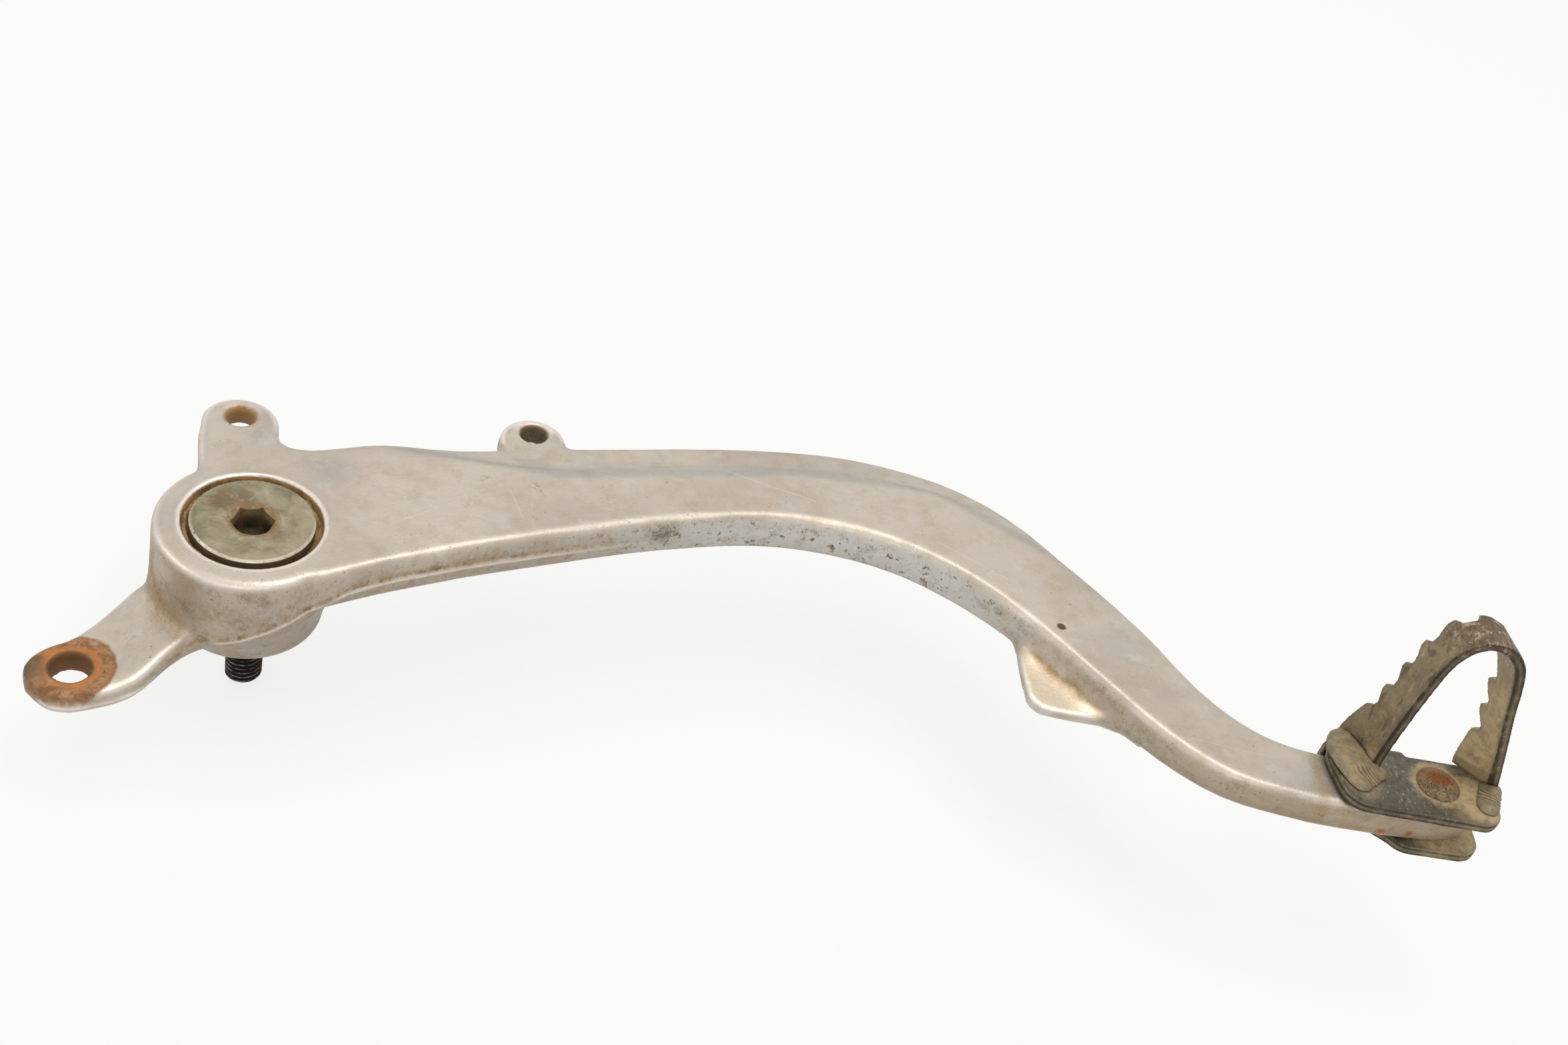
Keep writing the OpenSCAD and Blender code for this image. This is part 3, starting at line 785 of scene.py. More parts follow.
@dataclass(frozen=True)
class ThreadFinish:
    """Near black oily thread with lighter crests."""

    name: str = "oily_thread"
    oil: Colour = paint(30, 29, 27)
    crest: Colour = paint(132, 127, 116)
    brown: Colour = paint(70, 52, 34)

    def make(self) -> bpy.types.Material:
        """Builds the material.

        Returns:
            The thread's material.
        """
        b = Bench(self.name, self.oil)
        crests = b.radius().ramp(THREAD_RADIUS - 0.22, THREAD_RADIUS - 0.02)
        b.lay(crests * b.noise(1.6, 4.0).ramp(0.35, 0.65) * 0.8, self.crest)
        b.lay(b.noise(2.2, 4.0).ramp(0.56, 0.7) * 0.5, self.brown)
        return b.surface(0.34 + b.noise(0.9) * 0.3, 0.75, b.noise(0.3, 3.0), 0.04)


@dataclass(frozen=True)
class SteelFinish:
    """Dull plated sheet steel with tan dirt, dark cut edges and local rust."""

    name: str
    plate: Colour
    dark: Colour
    tan: Colour
    soil: float
    rust_at: tuple[Mark, ...]
    tan_at: tuple[Mark, ...]
    cut_shade: float = 0.0
    cut: Colour = paint(98, 84, 58)
    soot: Colour = paint(46, 41, 31)
    rust: Colour = paint(104, 68, 42)
    bare: Colour = paint(190, 176, 160)
    dust: Colour = paint(200, 178, 136)
    roughness: float = 0.42
    metallic: float = 0.86
    relief: float = 0.11
    ragged: float = 1.4

    def make(self) -> bpy.types.Material:
        """Builds the material.

        Returns:
            The sheet's material.
        """
        b = Bench(self.name, self.plate)
        band, away, front = (b.stored(name) for name in ("band", "rim", "front"))
        mottle = b.noise(2.0, 6.0, 0.7)
        fine = b.noise(0.55, 4.0, 0.65)
        streak = b.noise(0.7, 3.0, 0.6, 0.2, (0.5, 0.5, 0.18))
        film = self._film(b, mottle, fine, band)
        b.lay(band * (0.3 + streak.ramp(0.35, 0.6) * 0.65), self.tan)
        b.lay(front * (0.55 + streak.ramp(0.6, 0.4) * 0.45) * self.cut_shade, self.cut)
        stain = b.noise(4.0, 5.0, 0.68).ramp(0.36, 0.58)
        rim = away.ramp(1.25, 0.4) * (0.15 + front * (0.35 + stain * 0.5) + mottle.ramp(0.35, 0.55) * 0.2)
        b.lay(rim.limit() * 0.9, self.soot)
        b.lay(front * stain * 0.35, self.soot)
        b.lay(b.noise(5.5, 5.0, 0.66).ramp(0.5, 0.66) * (1.0 - front) * 0.35, self.dark)
        cavity = b.stored("edge").ramp(-0.03, -0.14)
        b.lay(cavity * 0.6, self.soot)

        rust = b.marks(self.rust_at, self.ragged)
        blotch = b.noise(1.5, 6.0, 0.72).ramp(0.46, 0.58)
        worn = rust * b.noise(1.8, 6.0, 0.74).ramp(0.52, 0.6)
        b.lay(rust * 0.55, self.soot)
        b.lay(rust * blotch * 0.8, self.rust)
        b.lay(worn * (1.0 - blotch * 0.7) * 0.7, self.bare)
        glint = away.ramp(0.16, 0.04) * mottle.ramp(0.52, 0.62) * 0.5
        glint = glint.most(rust * away.ramp(0.55, 0.2) * fine.ramp(0.45, 0.6))
        b.lay(glint * 0.65, self.bare)
        dirt = (film * 0.7 + cavity * 0.6 + rim * 0.3 + band * 0.4 + rust * blotch * 0.8).limit()
        roughness = (self.roughness + dirt * 0.3 + (mottle - 0.5) * 0.25 - glint * 0.15).limit()
        height = mottle * 0.5 + fine * 0.35 + streak * 0.2
        return b.surface(roughness, (self.metallic - dirt * 0.65).limit(), height, self.relief)

    def _film(self, b: Bench, mottle: Wire, fine: Wire, band: Wire) -> Wire:
        """Lays the plating's tones, the film of dirt, the scuffs and the dust.

        Args:
            b: The sheet's bench.
            mottle: Uneven noise.
            fine: Fine noise.
            band: Mask of the cut edge's middle.

        Returns:
            The mask of the film and the dust.
        """
        b.lay(b.noise(8.0, 4.0, 0.6).ramp(0.3, 0.7), self.dark)
        rub = b.noise(1.1, 4.0, 0.6, 0.3, (1.0, 0.35, 0.3))
        film = (mottle.ramp(0.36, 0.7) * self.soil + (rub - 0.45) * 0.8 * self.soil).limit()
        b.lay(film * 0.8, self.tan)
        b.lay(fine.ramp(0.56, 0.72) * 0.35, self.soot)
        scuffs = b.noise(0.9, 4.0, 0.62, 0.2, (1.0, 0.5, 0.16))
        b.lay(scuffs.ramp(0.56, 0.66) * 0.5 * (1.0 - band), self.soot)
        b.lay(scuffs.ramp(0.42, 0.34) * 0.45 * (1.0 - band), self.bare)
        uneven = 0.55 + mottle.ramp(0.35, 0.6) * 0.45
        for m in self.tan_at:
            dust = b.spot(m.at, m.near, m.far, self.ragged) * uneven * m.amount
            b.lay(dust, self.dust)
            film = film.most(dust * 1.5)
        return film


@dataclass(frozen=True)
class RivetFinish:
    """Grainy rust on the rivet heads, orange on one half and tan on the other."""

    name: str = "rusty_rivet"
    orange: Colour = paint(142, 82, 28)
    tan: Colour = paint(156, 132, 96)
    dark: Colour = paint(84, 50, 22)
    spark: Colour = paint(168, 106, 46)
    crust: Colour = paint(78, 66, 46)
    middle: Point = (RIVET_HOLE.x, RIVET_HOLE.y, 29.6)
    tan_side: Point = (0.3, 0.95, 0.0)

    def make(self) -> bpy.types.Material:
        """Builds the material.

        Returns:
            The rivet's material.
        """
        b = Bench(self.name, self.orange)
        grain = b.noise(0.7, 5.0, 0.7, 0.3)
        patch = b.noise(1.9, 5.0, 0.65)
        along = b.vector("DOT_PRODUCT", b.vector("SUBTRACT", b.mm, self.middle), self.tan_side, out=1)
        lower = (along + (patch - 0.5) * 9.0).ramp(-0.3, -1.6)
        top = b.height.ramp(self.middle[2] - 0.35, self.middle[2] + 0.1)
        b.lay((lower + (1.0 - top) * 0.6).limit(), self.tan)
        b.lay(grain.ramp(0.5, 0.64) * (0.75 - lower * 0.35), self.dark)
        b.lay(b.noise(1.2, 5.0, 0.7).ramp(0.57, 0.66) * 0.5, self.spark)
        swirl = b.noise(0.9, 4.0, 0.6, 1.2)
        crust = swirl.ramp(0.47, 0.5) * swirl.ramp(0.54, 0.51) * lower
        b.lay(crust * 0.8, self.crust)
        b.lay(b.stored("edge").ramp(-0.02, -0.1) * 0.8, self.dark)
        return b.surface(0.6 + grain * 0.25, 0.1, grain + patch * 0.8 - crust * 0.5, 0.4)


@dataclass(frozen=True)
class WeldFinish:
    """Rippled weld metal under tan dirt, with painted shade in the ripples' troughs and a painted highlight
    on their crests.
    """

    name: str = "rippled_weld_metal"
    metal: Colour = paint(126, 118, 96)
    tan: Colour = paint(154, 134, 98)
    # soot: dark dirt, and painted shade in the ripples' troughs.
    soot: Colour = paint(70, 60, 44)
    # crest: painted highlight on the ripples' crests.
    crest: Colour = paint(184, 164, 124)
    grey: Colour = paint(96, 92, 80)

    def make(self) -> bpy.types.Material:
        """Builds the material.

        Returns:
            The weld's material.
        """
        b = Bench(self.name, self.metal)
        ripple = b.stored("ripple")
        mottle = b.noise(2.2, 5.0, 0.68)
        fine = b.noise(0.6, 4.0, 0.6)
        b.lay(mottle.ramp(0.38, 0.62), self.tan)
        b.lay(fine.ramp(0.55, 0.7) * 0.4, self.soot)
        # Painted shade in the ripples' troughs, and a painted highlight on their crests.
        b.lay(ripple.ramp(-0.1, -0.9) * 0.5, self.soot)
        b.lay(ripple.ramp(0.2, 0.9) * 0.3, self.crest)
        b.lay(b.stored("edge").ramp(-0.01, -0.08) * 0.6, self.soot)
        b.lay(b.noise(3.2, 4.0, 0.6).ramp(0.56, 0.7) * 0.4, self.grey)
        return b.surface(0.42 + mottle * 0.25, 0.55, mottle * 0.6 + fine * 0.4, 0.1)


@dataclass(frozen=True)
class RubberFinish:
    """Matt black seal rubber with a little dust."""

    name: str = "matt_seal_rubber"
    black: Colour = paint(26, 26, 27)
    dust: Colour = paint(74, 66, 54)

    def make(self) -> bpy.types.Material:
        """Builds the material.

        Returns:
            The rubber's material.
        """
        b = Bench(self.name, self.black)
        grain = b.noise(1.2, 4.0)
        b.lay(grain.ramp(0.45, 0.7) * 0.4, self.dust)
        return b.surface(0.6 + grain * 0.2, 0.0, grain, 0.02)


# Meshes


def linked(name: str, data: bpy.types.ID) -> bpy.types.Object:
    """Makes an object of a mesh, a lamp or a camera and links it to the scene.

    Args:
        name: Name of the object.
        data: What it shows.

    Returns:
        The object.
    """
    made = bpy.data.objects.new(name, data)
    bpy.context.scene.collection.objects.link(made)
    return made


def evaluated_mesh(source: bpy.types.Object, name: str) -> bpy.types.Mesh:
    """Runs an object's modifiers and keeps the result.

    Args:
        source: The object.
        name: Name of the new mesh.

    Returns:
        The mesh as the modifiers leave it.
    """
    bpy.context.view_layer.update()
    graph = bpy.context.evaluated_depsgraph_get()
    mesh = bpy.data.meshes.new_from_object(source.evaluated_get(graph))
    mesh.name = name
    return mesh


def merged_copy(node: str, name: str) -> bpy.types.Object:
    """Copies a solid's mesh and joins its loose triangles.

    Args:
        node: Name of the solid.
        name: Name of the copy.

    Returns:
        The copy, linked to the scene.
    """
    mesh = bpy.data.objects[node].data.copy()
    mesh.name = name
    work = bmesh.new()
    work.from_mesh(mesh)
    bmesh.ops.remove_doubles(work, verts=work.verts, dist=1e-6)
    work.to_mesh(mesh)
    work.free()
    mesh.materials.clear()
    return linked(name, mesh)


def dress(
    piece: bpy.types.Object, material: bpy.types.Material, body: Body, slot: Slot, node: str | None = None
) -> bpy.types.Object:
    """Gives a finished mesh its material and its body.

    Args:
        piece: The piece.
        material: Its finish.
        body: The body that it rides on.
        slot: Not used.
        node: The solid that it stands for, if any.

    Returns:
        The piece.
    """
    piece.data.materials.clear()
    piece.data.materials.append(material)
    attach(piece, body.value)
    if node:
        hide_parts(node)
    return piece


def lattice_noise(points: np.ndarray, size: float, seed: int) -> np.ndarray:
    """Smooth noise from a hashed lattice.

    Args:
        points: Places in millimetres.
        size: Size of the features in millimetres.
        seed: Picks the pattern.

    Returns:
        One value from -1 to 1 for each point.
    """
    q = points / size + seed * 17.31
    base = np.floor(q).astype(np.int64)
    share = q - base
    share = share * share * (3.0 - 2.0 * share)
    total = np.zeros(len(points))
    for corner in range(8):
        off = np.array([(corner >> k) & 1 for k in range(3)])
        c = base + off
        h = (c[:, 0] * 73856093) ^ (c[:, 1] * 19349663) ^ (c[:, 2] * 83492791) ^ (seed * 2654435)
        h = (h ^ (h >> 13)) * 1274126177
        value = ((h ^ (h >> 16)) & 0xFFFF) / 65535.0
        total += value * np.prod(np.where(off, share, 1.0 - share), axis=1)
    return total * 2.0 - 1.0


def rise(values: np.ndarray, low: float, high: float) -> np.ndarray:
    """Eases values from 0 at low to 1 at high, in either order."""
    t = np.clip((values - low) / (high - low), 0.0, 1.0)
    return t * t * (3.0 - 2.0 * t)


def to_line(points: np.ndarray, line: Sequence[Point]) -> tuple[np.ndarray, np.ndarray]:
    """Distance from points to a bent line, and the height of the nearest point on it.

    Args:
        points: Places in millimetres.
        line: Corners of the line in millimetres.

    Returns:
        The distances and the heights.
    """
    best = np.full(len(points), 1e9)
    height = np.zeros(len(points))
    for start, end in zip(line, line[1:]):
        a, d = np.array(start), np.array(end) - np.array(start)
        t = np.clip((points - a) @ d / (d @ d), 0.0, 1.0)
        foot = a + t[:, None] * d
        far = np.linalg.norm(points - foot, axis=1)
        near = far < best
        best[near] = far[near]
        height[near] = foot[near, 2]
    return best, height


class Skin:
    """A dense closed skin over one solid of the pedal, whose points are moved in numpy."""

    def __init__(self, node: str, name: str, cell: float) -> None:
        """Remeshes the solid and lays the skin on its surface.

        Args:
            node: Name of the solid.
            name: Name of the piece.
            cell: Spacing of the points in millimetres.
        """
        self.node = node
        form = merged_copy(node, f"{name}_form")
        shell = linked(f"{name}_shell", form.data)
        cells = shell.modifiers.new("cells", "REMESH")
        cells.mode = "VOXEL"
        cells.voxel_size = cell * MM
        lay = shell.modifiers.new("lay", "SHRINKWRAP")
        lay.target = form
        lay.wrap_method = "NEAREST_SURFACEPOINT"
        self.mesh = evaluated_mesh(shell, name)
        corners = np.array([list(v.co) for v in form.data.vertices]) / MM
        self.low = corners.min(axis=0) + INSET
        self.high = corners.max(axis=0) - INSET
        bpy.data.objects.remove(shell)
        bpy.data.objects.remove(form)
        self.mesh.materials.clear()
        self.piece = linked(name, self.mesh)
        count = len(self.mesh.vertices)
        flat = np.zeros(count * 3, np.float32)
        self.mesh.vertices.foreach_get("co", flat)
        self.at = flat.reshape(-1, 3).astype(float) / MM
        edges = np.zeros(len(self.mesh.edges) * 2, np.int32)
        self.mesh.edges.foreach_get("vertices", edges)
        self.edges = edges.reshape(-1, 2)
        self.degree = np.maximum(np.bincount(edges, minlength=count), 1)[:, None]

    def mean(self, values: np.ndarray) -> np.ndarray:
        """Average of each point's neighbours.

        Args:
            values: One row for each point.

        Returns:
            The averages, in rows.
        """
        total = np.zeros_like(values)
        a, b = self.edges[:, 0], self.edges[:, 1]
        count = len(values)
        for k in range(values.shape[1]):
            total[:, k] = np.bincount(a, values[b, k], count) + np.bincount(b, values[a, k], count)
        return total / self.degree

    def normals(self) -> np.ndarray:
        """Normals of the points as they now lie.

        Returns:
            One direction for each point.
        """
        self.write()
        flat = np.zeros(len(self.at) * 3, np.float32)
        self.mesh.vertex_normals.foreach_get("vector", flat)
        return flat.reshape(-1, 3).astype(float)

    def fill(self, rounds: int, weight: np.ndarray) -> None:
        """Rounds inner corners outward, and leaves outer edges as they are.

        Args:
            rounds: How often.
            weight: Share for each point.
        """
        for i in range(rounds):
            if i % 5 == 0:
                normal = self.normals()
            lift = np.einsum("ij,ij->i", self.mean(self.at) - self.at, normal)
            self.at += normal * (np.maximum(lift, 0.0) * weight * 0.9)[:, None]

    def soften(self, rounds: int, weight: np.ndarray | float = 1.0) -> None:
        """Smooths the points.

        Args:
            rounds: How often.
            weight: Share for each point.
        """
        share = np.broadcast_to(np.asarray(weight, float), (len(self.at),))[:, None] * 0.5
        for _ in range(rounds):
            self.at += (self.mean(self.at) - self.at) * share

    def push(self, amount: np.ndarray) -> None:
        """Moves the points along their normals, by millimetres."""
        self.at += self.normals() * amount[:, None]

    def store(self, name: str, values: np.ndarray) -> None:
        """Keeps one number for each point on the mesh."""
        made = self.mesh.attributes.new(name, "FLOAT", "POINT")
        made.data.foreach_set("value", values.astype(np.float32))

    def curvature(self, rounds: int) -> np.ndarray:
        """How far each point stands out of its blurred surroundings.

        Args:
            rounds: Size of the surroundings, in rounds of blurring.

        Returns:
            Millimetres, above 0 on edges and below 0 in corners.
        """
        soft = self.at.copy()
        for _ in range(rounds):
            soft += (self.mean(soft) - soft) * 0.5
        stand = np.einsum("ij,ij->i", self.at - soft, self.normals())[:, None]
        for _ in range(3):
            stand += (self.mean(stand) - stand) * 0.5
        return stand[:, 0]

    def from_edges(self, turn: float = 38.0, step: float = 0.15, reach: float = 3.0) -> np.ndarray:
        """Distance from each point to the sharp edges of the solid.

        Args:
            turn: Angle in degrees from which an edge is sharp.
            step: Spacing of the places taken along the edges, in millimetres.
            reach: Largest distance given.

        Returns:
            The distances in millimetres.
        """
        source = merged_copy(self.node, f"{self.node}_edges")
        work = bmesh.new()
        work.from_mesh(source.data)
        places: list[Vector] = []
        for edge in work.edges:
            if len(edge.link_faces) == 2 and edge.calc_face_angle() > math.radians(turn):
                start, end = (v.co / MM for v in edge.verts)
                count = max(1, int((end - start).length / step))
                places.extend(start.lerp(end, i / count) for i in range(count + 1))
        work.free()
        bpy.data.objects.remove(source)
        tree = KDTree(len(places))
        for index, place in enumerate(places):
            tree.insert(place, index)
        tree.balance()
        return np.array([min(tree.find(point)[2], reach) for point in self.at])

    def write(self) -> None:
        """Sends the points to the mesh."""
        self.mesh.vertices.foreach_set("co", (self.at * MM).astype(np.float32).ravel())
        self.mesh.update()

    def finish(self, material: bpy.types.Material, slot: Slot) -> bpy.types.Object:
        """Keeps the skin inside the solid's box and puts it in the solid's place.

        Args:
            material: The finish.
            slot: The record's slot that it stands for.

        Returns:
            The finished piece.
        """
        self.at = np.clip(self.at, self.low, self.high)
        self.write()
        self.mesh.polygons.foreach_set("use_smooth", np.ones(len(self.mesh.polygons), bool))
        return dress(self.piece, material, Body.PEDAL, slot, self.node)


# Sub-assemblies


@dataclass
class ForgedLever:
    """The forged arm with its boss, ears, lug and ledge."""

    cell: float = 0.6
    fill_rounds: int = 70
    bore_radius: float = 8.35
    counterbore_radius: float = 14.5
    sump_floor: float = 22.8
    flash_height: float = 0.4
    flash_width: float = 0.62
    pit_depth: float = 0.5
    bracket_end: float = 231.6
    flash: tuple[Point, ...] = (
        (-36.6, -36.0, 3.0),
        (-31.5, -39.0, 2.8),
        (-27.4, -39.0, 2.8),
        (-22.8, -37.0, 2.8),
        (-18.8, -34.6, 2.9),
        (-14.8, -30.8, 3.2),
        (-10.9, -25.4, 4.2),
        (-8.0, -21.9, 6.2),
        (-5.9, -20.6, 7.6),
        (-3.5, -20.7, 8.4),
        (1.4, -20.7, 10.1),
        (5.0, -20.2, 11.9),
        (8.4, -19.0, 13.4),
        (11.8, -17.1, 14.9),
        (15.0, -14.6, 16.4),
        (17.6, -12.4, 17.6),
        (21.6, -10.8, 19.6),
        (31.6, -5.0, 20.3),
        (45.0, 2.4, 20.2),
        (58.7, 9.3, 20.2),
        (73.0, 16.0, 20.1),
        (87.8, 22.3, 20.0),
        (109.0, 29.1, 20.0),
        (126.0, 30.3, 20.0),
    )
    joggle: tuple[Point, ...] = (
        (-20.4, -2.0, 19.5),
        (-19.6, -7.0, 16.0),
        (-17.4, -11.4, 13.0),
        (-14.6, -15.0, 10.5),
        (-10.5, -18.2, 9.0),
    )
    ledge: tuple[Point, ...] = (
        (25.8, 32.2, FACE),
        (52.6, 32.4, FACE),
        (63.2, 32.6, FACE),
        (90.0, 40.4, FACE),
        (117.3, 47.8, FACE),
        (149.9, 50.1, FACE),
        (175.7, 34.8, FACE),
    )

    def build(self) -> list[bpy.types.Object]:
        """Makes the arm's skin and dresses it.

        Returns:
            The finished arm.
        """
        skin = Skin("lever_arm", "forged_lever_arm", self.cell)
        keep = self._keep(skin.at)
        skin.fill(self.fill_rounds, keep)
        skin.soften(4, 0.15 + 0.85 * keep)
        self._relief(skin, keep)
        self._sump(skin)
        self._clear_bore(skin)
        self._marks(skin)
        self._stains(skin)
        return [skin.finish(AlloyFinish().make(), Slot.ALLOY)]

    def _keep(self, at: np.ndarray) -> np.ndarray:
        """Share of softening for each point, low near bores.

        Args:
            at: The points.

        Returns:
            The shares.
        """
        radius = np.hypot(at[:, 0], at[:, 1])
        share = rise(radius, self.counterbore_radius + 0.4, self.counterbore_radius + 2.0)
        for hole in SMALL_HOLES:
            share = share * rise(hole.away(at), hole.radius + 0.9, hole.radius + 2.6)
        return share

    def _relief(self, skin: Skin, keep: np.ndarray) -> None:
        """Adds the flash line, the soft waves of the forging and one pit.

        Args:
            skin: The arm's skin.
            keep: Share for each point.
        """
        at = skin.at
        distance, _ = to_line(at, self.flash)
        upright = rise(np.abs(skin.normals()[:, 2]), 0.9, 0.6)
        fade = rise(at[:, 0], 128.0, 60.0) * (0.45 + 0.55 * rise(at[:, 0], -16.0, -6.0))
        lift = self.flash_height * np.exp(-((distance / self.flash_width) ** 2)) * upright * fade
        lift *= 0.8 + 0.4 * lattice_noise(at, 5.0, 3)
        waves = 0.10 * lattice_noise(at, 16.0, 1) + 0.05 * lattice_noise(at, 6.0, 2)
        hollow = self.pit_depth * rise(np.linalg.norm(at - np.array(PIT), axis=1), 1.1, 0.2)
        skin.push(lift + (waves * upright * 1.4 + waves * 0.35) * keep - 0.06 * keep - hollow)

    def _sump(self, skin: Skin) -> None:
        """Raises the counterbore's floor with packed dirt, thicker on the left and the back.

        Args:
            skin: The arm's skin.
        """
        x, y, z = skin.at.T
        radius = np.hypot(x, y)
        floor = rise(radius, 13.1, 13.7) * rise(radius, 14.6, 14.3) * (np.abs(z - self.sump_floor) < 0.3)
        left = 0.3 + 0.7 * np.maximum(rise(x, 6.0, -8.0), rise(y, 2.0, 9.0))
        skin.at[:, 2] += floor * left * (1.9 + 0.4 * lattice_noise(skin.at, 2.5, 5))

    def _clear_bore(self, skin: Skin) -> None:
        """Keeps the bore's wall clear of the bolt.

        Args:
            skin: The arm's skin.
        """
        radius = np.hypot(skin.at[:, 0], skin.at[:, 1])
        inside = (radius < self.bore_radius) & (radius > 0.1)
        grow = np.where(inside, self.bore_radius / np.maximum(radius, 0.1), 1.0)
        skin.at[:, :2] *= grow[:, None]

    def _marks(self, skin: Skin) -> None:
        """Stores where walls, edges, flecks, the flash line, the ledge and holes lie.

        Args:
            skin: The arm's skin.
        """
        x, y, z = skin.at.T
        normal = skin.normals()
        wall = 1.0 - np.abs(normal[:, 2])
        steep = rise(wall, 0.2, 0.6)
        skin.store("wall", wall)
        skin.store("edge", skin.curvature(26))
        distance, height = to_line(skin.at, self.flash)
        over = rise(z - height, 0.1, 0.7) * rise(distance, 2.6, 0.9)
        under = 0.2 * rise(z - height, -0.3, -1.0) * rise(distance, 4.5, 1.8)
        skin.store("seam", np.maximum(over, under) * rise(x, 100.0, 45.0) * rise(x, -14.0, -8.0) * steep)
        skin.store("crest", rise(distance, 0.75, 0.25) * rise(x, 95.0, 50.0) * steep)
        outward = rise(-normal[:, 1], 0.1, 0.5)
        skin.store("fleck", rise(x, 50.0, 100.0) * rise(x, 180.0, 155.0) * rise(wall, 0.3, 0.7) * outward)
        skin.store("ledge", rise(to_line(skin.at, self.ledge)[0], 2.2, 0.3))
        skin.store("grime", rise(x, 178.0, 236.0) * rise(wall, 0.25, 0.7))
        walls = [rise(hole.away(skin.at), hole.radius + 0.55, hole.radius + 0.15) for hole in SMALL_HOLES]
        skin.store("hole", np.max(walls, axis=0))

    def _stains(self, skin: Skin) -> None:
        """Stores where ochre dirt, the fin's pale shelf and the counterbore's dirt lie.

        Args:
            skin: The arm's skin.
        """
        x, y, z = skin.at.T
        up = skin.normals()[:, 2]
        radius = np.hypot(x, y)
        corner = to_line(skin.at, self.joggle)[0]
        joggle = rise(corner, 5.2, 0.8) * rise(radius, 18.6, 20.0) * (0.55 + 0.45 * rise(radius, 22.5, 20.6))
        bracket = rise(np.abs(x - self.bracket_end), 2.0, 0.4) * rise(z, 17.0, 20.0)
        tail = rise(np.abs(z - 16.5), 2.2, 0.6) * rise(x, 232.0, 250.0) * 0.5
        on_fin = rise(x, 166.0, 169.0) * rise(x, 203.0, 197.0) * rise(z, 22.5, 20.0)
        root = on_fin * rise(skin.curvature(20), -0.03, -0.15) * rise(up, 0.0, 0.3)
        skin.store("shelf", on_fin * rise(up, 0.35, 0.8) * rise(y, 8.0, 5.0))
        skin.store("ochre", np.clip(joggle * 0.95 + bracket * 0.6 + tail + root, 0.0, 1.0))
        skin.store("sump", rise(radius, 14.75, 14.55) * rise(radius, 9.0, 10.0) * rise(z, 25.75, 25.4))


